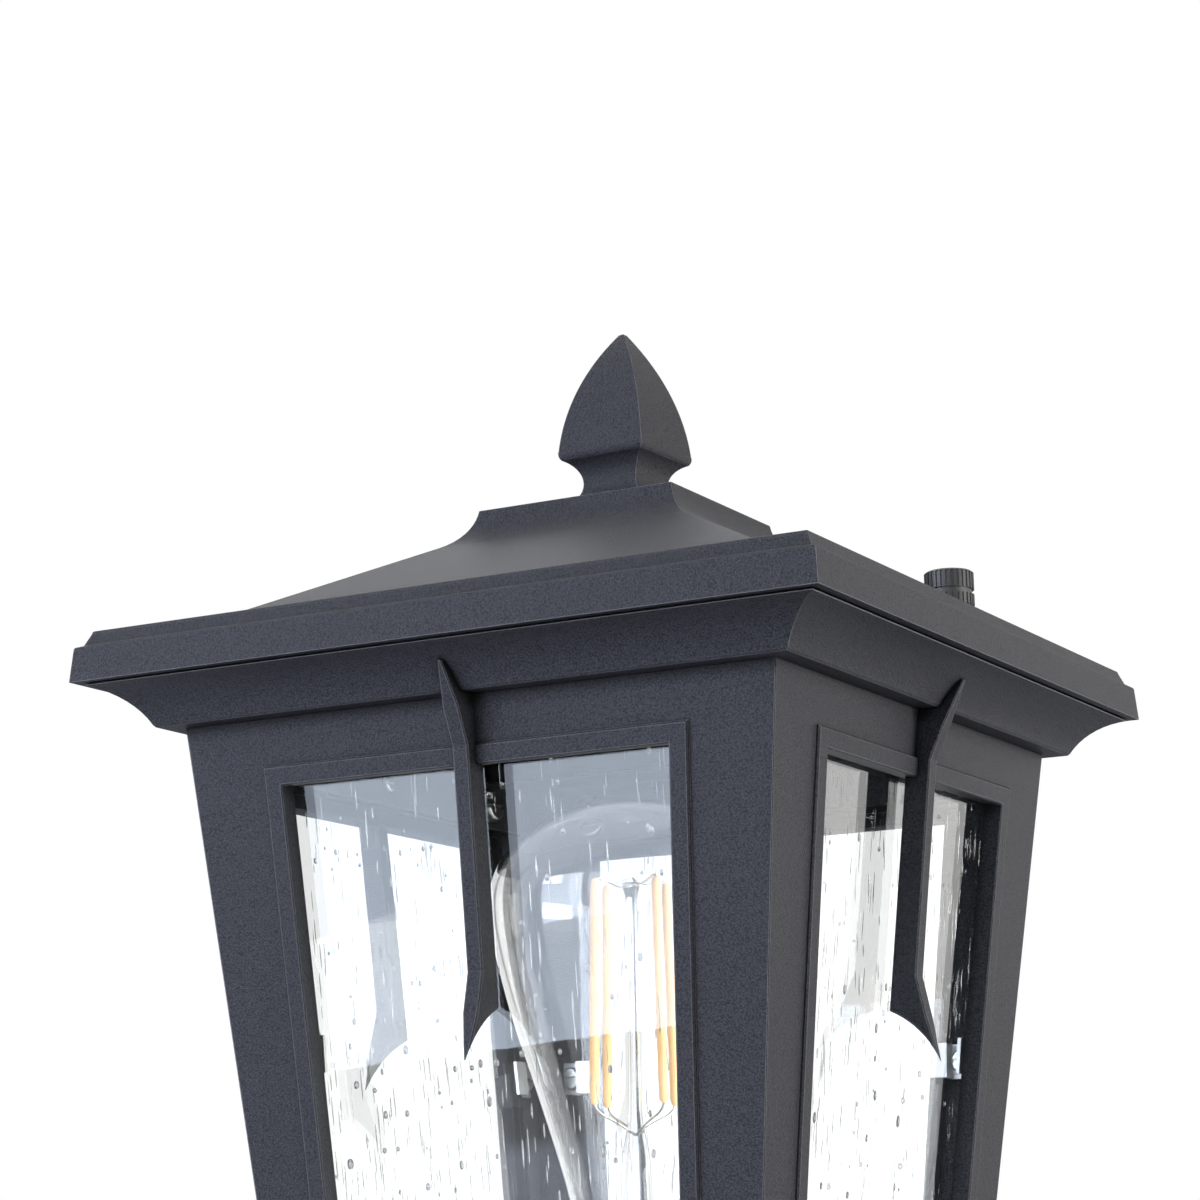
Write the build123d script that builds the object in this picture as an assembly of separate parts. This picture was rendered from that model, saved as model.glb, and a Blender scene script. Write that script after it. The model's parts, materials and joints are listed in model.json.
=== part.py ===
from build123d import *
import math
import os

# Post top lantern: a square, tapering cast lantern with a hipped roof, on a round collar that
# slips over a post. The part stands on the collar's rim: origin at the centre of the rim, +Z up.
# The front face looks towards -Y. All lengths are in millimetres.

# ---------------------------------------------------------------- driving dimensions
# clearances and joints
FIT = 0.05              # screw in its hole, per side
RUN = 0.15              # lamp base in its holder, per side
SEAM = 0.06             # each panel's mitre back from the corner plane
SLIP = 0.4              # roof skirt over the top frame, per side
OVERCUT = 1.0           # how far a cut runs past the face that it opens
NEAR = 0.01             # how close a point lies to a face to be on it
EASE = 0.6              # eased edges of the mouldings

# post fitter
POST_RADIUS = 38.1      # nominal 3 inch post
POST_CLEARANCE = 0.5
FITTER_WALL = 3.6
POST_DEPTH = 66.0       # rim to the shoulder that the post's end meets
POST_SEAT = 4.0         # width of that shoulder
TAIL_ROOM = 2.0         # post's end to the threaded stem's tail
FITTER_CAP = 4.0
RIM_HEIGHT = 6.0
RIM_PROUD = 2.2
FITTER_EDGE = 1.0       # eased edges of the rim, and the top bead's height
THUMBSCREW_RADIUS = 3.0
THUMBSCREW_LEVEL = 24.0
THUMBSCREW_GAP = 0.4    # tip stands back from the bore when slack
THUMBSCREW_TRAVEL = 4.0
THUMB_HEAD_RADIUS = 7.5
THUMB_HEAD_LENGTH = 7.0
THUMB_HEAD_GAP = 1.0    # head stands off its boss when tight
BOSS_RADIUS = 6.5
BOSS_PROUD = 3.5

# neck
NECK_HEIGHT = 36.0
NECK_WALL = 3.0
NECK_FLANGE = 4.0
NECK_WAIST_RADIUS = 22.0
NECK_TOP_RADIUS = 33.0
NECK_EDGE = 1.0
NECK_BEAD_SINK = 0.5
PLINTH_HEIGHT = 4.0
PLINTH_FILLET = 1.2

# base tray
TRAY_HEIGHT = 24.0
TRAY_WALL = 3.0
TRAY_FLOOR = 3.5
TRAY_FOOT_HALF = 38.0
TRAY_FOOT_BAND = 3.0
TRAY_SHADOW = 2.0       # hollow's upper end behind the tray's fascia
TRAY_SAG = 2.2
TRAY_MARGIN = 8.2       # panels' foot to the tray's fascia
TRAY_FASCIA_HEIGHT = 6.0
TRAY_LIP_SET = 1.6
TRAY_LIP_HEIGHT = 2.4

# body of four leaning panels
EAVE_REACH = 18.1       # panels' top to the roof's fascia
BODY_TAPER = 0.113      # half-width lost per millimetre of drop
PANEL_DROP = 195.7
PANEL_THICKNESS = 3.6
RAIL = 14.7             # top and bottom rails, edge of panel to opening
STILE_INSET = 24.9      # panels' top corner to the opening's top corner, sideways
OPENING_TAPER = 0.057
BORDER_WIDTH = 4.3
BORDER_PROUD = 0.9
GLASS_LAP = 3.5
GLASS_THICKNESS = 3.0
GLASS_SEAT = 0.3        # pane's lower edge above the tray's curb
CURB_WALL = 2.5
CURB_ROOT = 1.0         # curb's root in the tray's floor

# top frame with its cove
COVE_DROP = 9.3
COVE_SETBACK = 2.2      # fascia's face to the cove's upper edge
COVE_SAG = 1.5          # depth of the hollow curve behind its chord
COVE_SHADOW = 0.4       # dark gap under the fascia
SOFFIT_WIDTH = 4.6
SOFFIT_EDGE = 0.5
FRAME_WALL = 2.5
FRAME_LEDGE = 5.9       # panels' top to the frame's inner edge
SKIRT_DROP = 9.0
GASKET = 1.0
GASKET_MARGIN = 0.8

# roof
FASCIA_HALF = 90.0
FASCIA_HEIGHT = 7.9
FASCIA_LEAN = 0.6
STEP_WIDTH = 1.6
STEP_RISE = 0.4
LIP_SETBACK = 3.4       # fascia's face to the lip's upper edge
LEDGE_WIDTH = 12.1      # lip's upper edge to the foot of the slope
EDGE_ROLL = 0.7         # rounding of the fascia's and the lip's upper edges
LEDGE_HEIGHT = 11.7
THROAT_HALF = 31.4
THROAT_HEIGHT = 34.1
PLATEAU_HALF = 24.8
PLATEAU_HEIGHT = 43.2
ROOF_WALL = 2.5
SKIRT_WALL = 2.8

# finial
FINIAL_PLINTH_HALF = 11.5
FINIAL_PLINTH_HEIGHT = 2.2
FINIAL_NECK_HALF = 7.1
FINIAL_NECK_RISE = 8.0
FINIAL_WIDE_HALF = 11.2
FINIAL_WIDE_RISE = 14.8
FINIAL_RISE = 44.2
FINIAL_TIP_HALF = 0.7
FINIAL_BULGE = 2.0
FINIAL_TUCK = 0.5       # underside of the shoulders, drawn in
FINIAL_TUCK_RISE = 1.6
FINIAL_POINT = 0.4
FINIAL_TURN = -3.0      # degrees, as screwed down
ROD_RADIUS = 3.0
ROD_IN_FINIAL = 12.0

# roof studs and knurled nuts
STUD_INSET = 10.4       # fascia's face to each stud's axis
STUD_FLOOR = 1.0        # boss left under each stud
STUD_RADIUS = 2.5
STUD_HOLE_CLEARANCE = 0.5
STUD_BOSS_RADIUS = 4.6
NUT_RADIUS = 5.4
NUT_HEIGHT = 8.3
NUT_CROWN = 2.6         # from the top of the nut's bore to its crown
NUT_EDGE = 0.3
NUT_DOME = 0.4
GROOVE_LEVEL = 2.7
GROOVE_HEIGHT = 1.1
GROOVE_DEPTH = 0.5
WASHER_THICKNESS = 0.8
WASHER_RADIUS = 4.9
KNURLS = 30
KNURL_DEPTH = 0.4

# eave brackets
BRACKET_HALF_WIDTH = 1.9
BRACKET_PROUD = 3.7
BRACKET_BACK = 1.9      # behind the panel's face, over the window
BRACKET_TOP_BEND = 10.8 # drop of the upper bend along the panel
BRACKET_STRAIGHT = 46.5
BRACKET_FLARE_LENGTH = 17.6
BRACKET_FLARE_PROUD = 6.1
BRACKET_HOLLOW = 1.5    # sag of the lower end's underside
BRACKET_POINT_LENGTH = 9.5
BRACKET_TIP_HALF = 0.5
BRACKET_EASE = 0.35     # chamfer along the front edges

# lamp, medium screw base
LAMP_WIDEST_DROP = 45.4 # widest part below the eave
LAMP_RADIUS = 32.3
LAMP_DOME = 23.0
LAMP_LENGTH = 140.0
LAMP_WALL = 0.8
LAMP_NECK_RADIUS = 12.1
LAMP_COLLAR = 2.0       # straight glass above the screw base
LAMP_NECK_SHARE = 0.6   # how far up the base the glass neck starts
CAP_RADIUS = 13.1
CAP_HEIGHT = 27.0
CAP_THREAD = 0.5        # depth of the rolled thread
THREAD_PITCH = 3.6
CAP_TIP = 1.4
CAP_TIP_RADIUS = 4.6
CAP_CONE = 5.0
CAP_CONE_FLARE = 5.0    # insulator's rim outside the contact
CAP_FLOOR = 1.0
FILAMENTS = 4
FILAMENT_RADIUS = 1.1
FILAMENT_LENGTH = 50.0
FILAMENT_TOP_RING = 9.7
FILAMENT_FOOT_RING = 11.0
FILAMENT_TURN = 63.4    # degrees round the stem
FILAMENT_TOP_RISE = 4.4 # above the widest part of the lamp
WIRE_RADIUS = 0.3
STEM_ROD_RADIUS = 1.5
STEM_HEAD_RADIUS = 2.2
STEM_WAIST_RADIUS = 3.4
STEM_FLARE_HEIGHT = 14.0
PINCH_DROP = 8.0        # filaments' feet to the stem's pinch

# lampholder and threaded stem
HOLDER_RADIUS = 19.0
HOLDER_FLOOR = 3.0
HOLDER_HEIGHT = 30.0
HOLDER_SHELL_WALL = 0.4
HOLDER_CAP_HEIGHT = 14.0
HOLDER_CAP_WALL = 1.6
HOLDER_LIP = 4.0        # narrower band at the lampholder's mouth
HOLDER_STEP = 1.2
SHELL_FLANGE = 4.0      # shell's foot turned in
HUB_WALL = 3.0
HOLDER_DOME = 3.0       # bulge of the cap's wall
TUBE_GRIP = 6.0         # stem's thread in the lampholder's bushing
CONTACT_GAP = 0.1
TUBE_RADIUS = 5.0
TUBE_WALL = 1.5
TUBE_NUT_HEIGHT = 4.0
TUBE_NUT_FLATS = 15.0
TUBE_TAIL = 2.0
SLEEVE_RADIUS = 11.5
SLEEVE_WALL = 1.5

# small screws
PANEL_SCREW_RADIUS = 2.0
CLIP_SCREW_RADIUS = 1.5
BRACKET_SCREW_RADIUS = 1.0
BRACKET_SCREW_REACH = 9.0
SCREW_BITE = 2.8
CLIP_SHEET = 0.8
CLIP_WIDTH = 8.0
CLIP_FOOT = 6.0
CLIP_FINGER = 4.5
CLIP_GAP = 0.8          # pane's edge to the clip's riser
CLIP_DROPS = (72.0, 150.0)

# ---------------------------------------------------------------- levels and derived sizes
FITTER_CEILING = POST_DEPTH + TAIL_ROOM + TUBE_TAIL + TUBE_NUT_HEIGHT
FITTER_HEIGHT = FITTER_CEILING + FITTER_CAP
NECK_BASE = FITTER_HEIGHT
TRAY_BASE = NECK_BASE + NECK_HEIGHT
BODY_BASE = TRAY_BASE + TRAY_HEIGHT
BODY_TOP = BODY_BASE + PANEL_DROP
EAVE = BODY_TOP + COVE_DROP
FRAME_TOP = EAVE + LEDGE_HEIGHT - ROOF_WALL - GASKET
LEDGE = EAVE + LEDGE_HEIGHT
PLATEAU = EAVE + PLATEAU_HEIGHT
ROOF_UNDER = PLATEAU - ROOF_WALL

BORE_RADIUS = POST_RADIUS + POST_CLEARANCE
FITTER_RADIUS = BORE_RADIUS + FITTER_WALL
BOSS_END = FITTER_RADIUS + FITTER_EDGE + BOSS_PROUD
SKIRT_HALF = FASCIA_HALF - SKIRT_WALL
FRAME_HALF = SKIRT_HALF - SLIP
LIP_TOP_HALF = FASCIA_HALF - LIP_SETBACK
SLOPE_FOOT_HALF = LIP_TOP_HALF - LEDGE_WIDTH
STUD_REACH = FASCIA_HALF - STUD_INSET
BODY_TOP_HALF = FASCIA_HALF - EAVE_REACH
FRAME_INNER_HALF = BODY_TOP_HALF - FRAME_LEDGE
OPENING_TOP_HALF = BODY_TOP_HALF - STILE_INSET
TRAY_FASCIA_HALF = BODY_TOP_HALF - BODY_TAPER * PANEL_DROP + TRAY_MARGIN
COVE_TOP_HALF = FASCIA_HALF - COVE_SETBACK
COVE_FOOT_HALF = BODY_TOP_HALF + SOFFIT_WIDTH
LAMP_WIDEST = EAVE - LAMP_WIDEST_DROP
LAMP_TOP = LAMP_WIDEST + LAMP_DOME
LAMP_TIP = LAMP_TOP - LAMP_LENGTH
LAMP_NECK_FOOT = LAMP_TIP + CAP_HEIGHT * LAMP_NECK_SHARE
FILAMENT_HEAD = LAMP_WIDEST + FILAMENT_TOP_RISE
HOLDER_SEAT = LAMP_TIP - CAP_TIP - CONTACT_GAP
HOLDER_BASE = HOLDER_SEAT - HOLDER_FLOOR
HOLDER_CAP_BASE = HOLDER_BASE - HOLDER_CAP_HEIGHT
TUBE_BOTTOM = FITTER_CEILING - TUBE_NUT_HEIGHT - TUBE_TAIL
NUT_BASE = LEDGE + WASHER_THICKNESS

LEAN = math.atan(BODY_TAPER)
FAR = 2 * FASCIA_HALF + EAVE
SIDES = {side: 90 * turn for turn, side in enumerate(("front", "right", "back", "left"))}
THUMBSCREWS = {side: 120 * turn - 90 for turn, side in enumerate(("front", "right", "left"))}
STUDS = {side: SIDES[side] - SIDES["right"] for side in ("right", "left")}


# ---------------------------------------------------------------- helpers
def profile(*corners):
    """Face in the YZ plane, on the -Y side, from (half-width, height) corners.

    A corner of four numbers (half, height, via_half, via_height) is reached by an arc.
    """
    edges = []
    for start, corner in zip(corners, corners[1:] + corners[:1]):
        a = Vector(0, -start[0], start[1])
        b = Vector(0, -corner[0], corner[1])
        if len(corner) == 4:
            edges.append(ThreePointArc(a, Vector(0, -corner[2], corner[3]), b))
        else:
            edges.append(Line(a, b))
    return make_face(edges)


def wedge(gap=0.0):
    """The quarter of space in front of the axis, between the two mitre planes."""
    plan = make_face(Polyline((0, -gap), (FAR - gap, -FAR), (gap - FAR, -FAR), close=True))
    return extrude(plan, amount=FAR, both=True)


def four_sides(side):
    """One side of a square moulding and its three copies, joined."""
    return side + Rot(0, 0, 90) * side + Rot(0, 0, 180) * side + Rot(0, 0, 270) * side


def square_moulding(face):
    """Square ring or cap whose four mitred sides have this profile."""
    return four_sides(extrude(face, amount=FAR, both=True) & wedge())


def turned_profile(*corners):
    """Solid of revolution about Z from (radius, height) corners, arcs as in profile."""
    return revolve(profile(*corners), Axis.Z)


def rod(radius, low, high, bore=0.0):
    """Upright round bar, or tube if it has a bore, between two levels."""
    bar = Pos(0, 0, (low + high) / 2) * Cylinder(radius, high - low)
    if bore:
        bar -= Pos(0, 0, (low + high) / 2) * Cylinder(bore, high - low + 2)
    return bar


def bar_between(start, end, radius):
    """Round bar between two points."""
    middle = (start + end) * 0.5
    return Plane(origin=middle, z_dir=end - start) * Cylinder(radius, (end - start).length)


def hex_nut(flats, hole, low, height):
    """Hexagonal nut, its edges eased, round the Z axis."""
    corner_radius = flats / math.sqrt(3)
    nut = Pos(0, 0, low) * extrude(RegularPolygon(corner_radius, 6), amount=height)
    ease = (corner_radius - flats / 2) * 0.5
    nut &= turned_profile((0, low), (corner_radius - ease, low), (corner_radius, low + ease),
                          (corner_radius, low + height - ease), (corner_radius - ease, low + height),
                          (0, low + height))
    return nut - rod(hole, low - 1, low + height + 1)


def arc_mid(a, b, sag):
    """Middle of an arc from a to b that bows by sag to the right of the way from a to b."""
    length = math.dist(a, b)
    nx, ny = (b[1] - a[1]) / length, -(b[0] - a[0]) / length
    return (a[0] + b[0]) / 2 + nx * sag, (a[1] + b[1]) / 2 + ny * sag


def crown(radius, level, rise):
    """Corner on the axis that ends a round dome, which starts at this radius and level."""
    sphere = (radius ** 2 + rise ** 2) / (2 * rise)
    return (0, level + rise, radius / 2,
            level + rise - sphere + math.sqrt(sphere ** 2 - radius ** 2 / 4))


def body_half(drop):
    """Half-width of the body's outer face at a drop below its top."""
    return BODY_TOP_HALF - BODY_TAPER * drop


def opening_half(drop):
    """Half-width of the window opening at a drop below the body's top."""
    return OPENING_TOP_HALF - OPENING_TAPER * (drop - RAIL)


def face_plane(drop=0.0, x=0.0, proud=0.0):
    """Plane on the front panel's face: x to the right, y up the slope, z outwards."""
    origin = Vector(x, -body_half(drop), BODY_TOP - drop)
    plane = Plane(origin=origin, x_dir=(1, 0, 0), z_dir=(0, -math.cos(LEAN), -math.sin(LEAN)))
    return plane.offset(proud)


def slab(corners, inner, outer):
    """Flat plate on the front panel from (x, drop) corners, between two depths from its face."""
    points = [face_plane(drop, x, inner).origin for x, drop in corners]
    normal = face_plane().z_dir
    return extrude(make_face(Polyline(*points, close=True)), amount=outer - inner, dir=normal)


def window_outline(grow):
    """Corners of the window opening, let out by grow on every side."""
    top, bottom = RAIL - grow, PANEL_DROP - RAIL + grow
    return [(-opening_half(top) - grow, top), (opening_half(top) + grow, top),
            (opening_half(bottom) + grow, bottom), (-opening_half(bottom) - grow, bottom)]


def level_band(low, high):
    """All space between two levels."""
    return Pos(0, 0, (low + high) / 2) * Box(2 * FAR, 2 * FAR, high - low)


def screw(plane, radius, head_radius, head_height, length, start=0.0):
    """Pan-head screw whose head sits inside a plane and whose shank runs outwards, along +Z."""
    head = Pos(0, 0, start - head_height / 2) * Cylinder(head_radius, head_height)
    head = fillet(head.edges().group_by(Axis.Z)[0], head_height * 0.4)
    slot = Pos(0, 0, start - head_height) * Box(2 * head_radius, head_radius * 0.3, head_height)
    shank = Pos(0, 0, start + length / 2) * Cylinder(radius, length)
    return plane * (head - slot + shank)


# ---------------------------------------------------------------- post fitter, neck and tray
def post_fitter():
    """Collar that slips over the post, with a shoulder inside and three bosses for thumbscrews."""
    r, top, ceiling = FITTER_RADIUS, FITTER_HEIGHT, FITTER_CEILING
    rim, edge = r + RIM_PROUD, FITTER_EDGE
    seat = BORE_RADIUS - POST_SEAT
    bead = RIM_HEIGHT * 0.3
    body = turned_profile((BORE_RADIUS, 0), (rim - edge, 0), (rim, edge), (rim, RIM_HEIGHT - edge),
                          (rim - edge, RIM_HEIGHT), (r, RIM_HEIGHT + bead), (r, top - 2 * bead),
                          (r + edge, top - bead), (r + edge, top), (TUBE_RADIUS + FIT, top),
                          (TUBE_RADIUS + FIT, ceiling), (seat, ceiling), (seat, POST_DEPTH),
                          (BORE_RADIUS, POST_DEPTH))
    for angle in THUMBSCREWS.values():
        body += radial(angle, Cylinder(BOSS_RADIUS, FITTER_WALL + BOSS_PROUD),
                       BOSS_END - (FITTER_WALL + BOSS_PROUD) / 2)
    for angle in THUMBSCREWS.values():
        body -= radial(angle, Cylinder(THUMBSCREW_RADIUS + FIT, 4 * FITTER_WALL), FITTER_RADIUS)
    return body - rod(BORE_RADIUS, -OVERCUT, POST_DEPTH)


def radial(angle, shape, reach):
    """A shape modelled along Z, laid along a radius of the fitter with its middle at reach."""
    return Rot(0, 0, angle) * Pos(reach, 0, THUMBSCREW_LEVEL) * Rot(0, 90, 0) * shape


def thumbscrew(angle):
    """Thumbscrew with a scalloped head, slack: its tip is clear of the bore."""
    tip = BORE_RADIUS + THUMBSCREW_GAP
    head_start = BOSS_END + THUMBSCREW_TRAVEL + THUMB_HEAD_GAP
    length = head_start - tip
    shank = Pos(0, 0, length / 2) * Cylinder(THUMBSCREW_RADIUS, length)
    shank = chamfer(shank.edges().group_by(Axis.Z)[0], THUMBSCREW_RADIUS * 0.25)
    head = Pos(0, 0, length + THUMB_HEAD_LENGTH / 2) * Cylinder(THUMB_HEAD_RADIUS, THUMB_HEAD_LENGTH)
    head = chamfer(head.edges().filter_by(GeomType.CIRCLE), THUMB_HEAD_LENGTH * 0.12)
    scallop = Cylinder(THUMB_HEAD_RADIUS * 0.32, 3 * THUMB_HEAD_LENGTH)
    for k in range(6):
        head -= Rot(0, 0, 60 * k) * Pos(THUMB_HEAD_RADIUS * 1.2, 0, length) * scallop
    return Rot(0, 0, angle) * Pos(tip, 0, THUMBSCREW_LEVEL) * Rot(0, 90, 0) * (shank + head)


def base_neck():
    """Hollow turned neck: round flange on the fitter, waist, and a square plinth under the tray."""
    low, high = NECK_BASE, TRAY_BASE - PLINTH_HEIGHT
    flange = low + NECK_FLANGE
    waist = (flange + high) / 2
    r = FITTER_RADIUS
    edge = NECK_EDGE
    lower_mid = arc_mid((r - 2 * edge, flange), (NECK_WAIST_RADIUS, waist), -(r - NECK_WAIST_RADIUS) * 0.16)
    upper_mid = arc_mid((NECK_WAIST_RADIUS, waist), (NECK_TOP_RADIUS, high),
                        -(NECK_TOP_RADIUS - NECK_WAIST_RADIUS) * 0.16)
    outer = turned_profile((0, low), (r, low), (r, flange - edge), (r - edge, flange),
                           (r - 2 * edge, flange), (NECK_WAIST_RADIUS, waist, *lower_mid),
                           (NECK_TOP_RADIUS, high, *upper_mid), (0, high))
    bead = Pos(0, 0, waist) * Torus(NECK_WAIST_RADIUS - NECK_BEAD_SINK, NECK_WALL)
    plinth = Pos(0, 0, high + PLINTH_HEIGHT / 2) * Box(2 * TRAY_FOOT_HALF, 2 * TRAY_FOOT_HALF,
                                                       PLINTH_HEIGHT)
    plinth = fillet(plinth.edges().filter_by(Axis.Z), PLINTH_FILLET)
    waist_bore = NECK_WAIST_RADIUS - NECK_WALL - edge
    hollow = turned_profile((0, low - OVERCUT), (r - NECK_FLANGE - NECK_WALL, low - OVERCUT),
                            (waist_bore, waist), (NECK_TOP_RADIUS - NECK_WALL - NECK_FLANGE, high),
                            (0, high))
    stem_hole = rod(TUBE_RADIUS + FIT, high - OVERCUT, TRAY_BASE + OVERCUT)
    return outer + bead + plinth - hollow - stem_hole


def tray_outline():
    """Corners of the tray's outside, from its foot to its top edge."""
    fascia_foot = BODY_BASE - TRAY_LIP_HEIGHT - TRAY_FASCIA_HEIGHT
    start = (TRAY_FOOT_HALF, TRAY_BASE + TRAY_FOOT_BAND)
    end = (TRAY_FASCIA_HALF - TRAY_SHADOW, fascia_foot)
    return [(TRAY_FOOT_HALF, TRAY_BASE), start, (*end, *arc_mid(start, end, TRAY_SAG)),
            (TRAY_FASCIA_HALF, fascia_foot),
            (TRAY_FASCIA_HALF, BODY_BASE - TRAY_LIP_HEIGHT - EASE),
            (TRAY_FASCIA_HALF - EASE, BODY_BASE - TRAY_LIP_HEIGHT),
            (TRAY_FASCIA_HALF - TRAY_LIP_SET, BODY_BASE - TRAY_LIP_HEIGHT),
            (TRAY_FASCIA_HALF - TRAY_LIP_SET - EASE, BODY_BASE - EASE),
            (TRAY_FASCIA_HALF - TRAY_LIP_SET - 2 * EASE, BODY_BASE)]


def base_tray():
    """Square tray that carries the panels, hollow below, with a curb inside the panels."""
    floor = BODY_BASE - TRAY_FLOOR
    shell = square_moulding(profile(*tray_outline(), (0, BODY_BASE), (0, TRAY_BASE)))
    foot_inner = TRAY_FOOT_HALF - TRAY_WALL
    wide_inner = TRAY_FASCIA_HALF - TRAY_SHADOW - TRAY_WALL * 4 / 3
    fascia_foot = BODY_BASE - TRAY_LIP_HEIGHT - TRAY_FASCIA_HEIGHT
    start = (foot_inner, TRAY_BASE + TRAY_FOOT_BAND + TRAY_WALL)
    end = (wide_inner, fascia_foot + TRAY_WALL / 3)
    hollow = square_moulding(profile((0, TRAY_BASE - OVERCUT), (foot_inner, TRAY_BASE - OVERCUT), start,
                                     (*end, *arc_mid(start, end, TRAY_SAG)),
                                     (wide_inner, floor), (0, floor)))
    root = body_half(PANEL_DROP + CURB_ROOT) - PANEL_THICKNESS / math.cos(LEAN)
    height = RAIL - GLASS_LAP - GLASS_SEAT
    crest = root + BODY_TAPER * (height + CURB_ROOT)
    curb = square_moulding(profile((root, BODY_BASE - CURB_ROOT), (crest, BODY_BASE + height),
                                   (crest - CURB_WALL, BODY_BASE + height),
                                   (root - CURB_WALL, BODY_BASE - CURB_ROOT)))
    tray = shell - hollow + curb - rod(TUBE_RADIUS + FIT, floor - OVERCUT, BODY_BASE + OVERCUT)
    for plane in panel_screw_planes("bottom"):
        tray -= in_all_sides(plane * Cylinder(PANEL_SCREW_RADIUS + FIT, 4 * CURB_WALL))
    return tray


def in_all_sides(shape):
    """A shape of the front side and its copies on the other three."""
    return [Rot(0, 0, angle) * shape for angle in SIDES.values()]


# ---------------------------------------------------------------- body
def panel_screw_planes(row):
    """Planes of the screws that hold a panel: in the top rail or the bottom rail."""
    if row == "top":
        drop = SKIRT_DROP / 2
        spread = OPENING_TOP_HALF
    else:
        drop = PANEL_DROP - (RAIL - GLASS_LAP - GLASS_SEAT) / 2
        spread = opening_half(PANEL_DROP) - 2 * CLIP_FOOT
    return [face_plane(drop, x, -PANEL_THICKNESS) for x in (-spread, spread)]


def screw_holes(plane, radius):
    """Blind hole in a panel's back for a screw on this plane."""
    depth = SCREW_BITE + FIT
    return plane * Pos(0, 0, (depth - OVERCUT) / 2) * Cylinder(radius + FIT, depth + OVERCUT)


def panel_blank():
    """Front panel: a leaning frame mitred at the corners, with a raised border at the window."""
    top, bottom = -OVERCUT, PANEL_DROP + OVERCUT
    sheet = slab([(-body_half(top), top), (body_half(top), top),
                  (body_half(bottom), bottom), (-body_half(bottom), bottom)], -PANEL_THICKNESS, 0)
    sheet = sheet & wedge(SEAM * math.sqrt(2)) & level_band(BODY_BASE, BODY_TOP)
    border = slab(window_outline(BORDER_WIDTH), -OVERCUT, BORDER_PROUD)
    rim = border.faces().sort_by(Axis(face_plane().origin, face_plane().z_dir))[-1]
    border = chamfer(rim.edges(), BORDER_PROUD * 0.45)
    opening = slab(window_outline(0), -PANEL_THICKNESS - OVERCUT, BORDER_PROUD + OVERCUT)
    panel = sheet + border - opening
    lip = [e for e in panel.edges() if on_opening_rim(e)]
    return chamfer(lip, BORDER_PROUD * 0.35)


def side_panel():
    """Front panel with its screw holes."""
    panel = panel_blank()
    for row in ("top", "bottom"):
        for plane in panel_screw_planes(row):
            panel -= screw_holes(plane, PANEL_SCREW_RADIUS)
    for plane, _ in clip_planes():
        panel -= screw_holes(plane, CLIP_SCREW_RADIUS)
    bracket_hole = bracket_screw_plane() * Cylinder(BRACKET_SCREW_RADIUS + FIT, 4 * PANEL_THICKNESS)
    return panel - bracket_hole


def on_opening_rim(edge):
    """Whether an edge of the panel is one of the four at the opening's front rim."""
    local = face_plane().to_local_coords(edge.center())
    if abs(local.Z - BORDER_PROUD) > NEAR:
        return False
    drop, near = -local.Y * math.cos(LEAN), BORDER_WIDTH / 8
    return abs(local.X) < opening_half(drop) + near and RAIL - near < drop < PANEL_DROP - RAIL + near


def glass_pane():
    """Pane behind the front panel's window."""
    return slab(window_outline(GLASS_LAP), -PANEL_THICKNESS - GLASS_THICKNESS, -PANEL_THICKNESS)


def clip_planes():
    """Planes of the clips' screws on the front panel's back, with the side each clip is on."""
    planes = []
    for drop in CLIP_DROPS:
        for side in (-1, 1):
            edge = opening_half(drop) + GLASS_LAP
            x = side * (edge + CLIP_GAP + CLIP_SHEET + CLIP_FOOT / 2)
            planes.append((face_plane(drop, x, -PANEL_THICKNESS), side))
    return planes


def glass_clip(plane, side):
    """Bent spring clip: foot on the panel, riser past the pane's edge, finger on the pane."""
    length = CLIP_FOOT + CLIP_SHEET
    foot = Pos(-side * CLIP_SHEET / 2, 0, -CLIP_SHEET / 2) * Box(length, CLIP_WIDTH, CLIP_SHEET)
    height = GLASS_THICKNESS + CLIP_SHEET
    riser_x = -side * (CLIP_FOOT + CLIP_SHEET) / 2
    riser = Pos(riser_x, 0, -height / 2) * Box(CLIP_SHEET, CLIP_WIDTH, height)
    finger_x = riser_x - side * (CLIP_FINGER - CLIP_SHEET) / 2
    finger = Pos(finger_x, 0, -GLASS_THICKNESS - CLIP_SHEET / 2) * Box(CLIP_FINGER, CLIP_WIDTH,
                                                                       CLIP_SHEET)
    hole = Cylinder(CLIP_SCREW_RADIUS + FIT, 4 * CLIP_SHEET)
    return plane * (foot + riser + finger - hole)


def clip_screw(plane):
    """Pan-head screw of one clip."""
    return screw(plane, CLIP_SCREW_RADIUS, 1.9 * CLIP_SCREW_RADIUS, CLIP_SCREW_RADIUS,
                 SCREW_BITE + CLIP_SHEET, -CLIP_SHEET)


def panel_screw(plane, wall):
    """Screw through the curb or the skirt, of this wall, into a panel's rail."""
    return screw(plane, PANEL_SCREW_RADIUS, 1.8 * PANEL_SCREW_RADIUS, 1.1 * PANEL_SCREW_RADIUS,
                 SCREW_BITE + wall, -wall)


def bracket_screw_plane():
    """Plane of the screw that holds the bracket, on the inner face of the top frame's skirt."""
    return face_plane(SKIRT_DROP / 2, 0, -PANEL_THICKNESS - FRAME_WALL)


# ---------------------------------------------------------------- top frame
def cove_outline():
    """Corners of the cove, from the shoulder under the fascia down to the soffit's edge."""
    start = (COVE_TOP_HALF, EAVE - COVE_SHADOW)
    end = (COVE_FOOT_HALF + SOFFIT_EDGE, BODY_TOP + SOFFIT_EDGE)
    return [start, (*end, *arc_mid(start, end, COVE_SAG)), (COVE_FOOT_HALF, BODY_TOP)]


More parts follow.
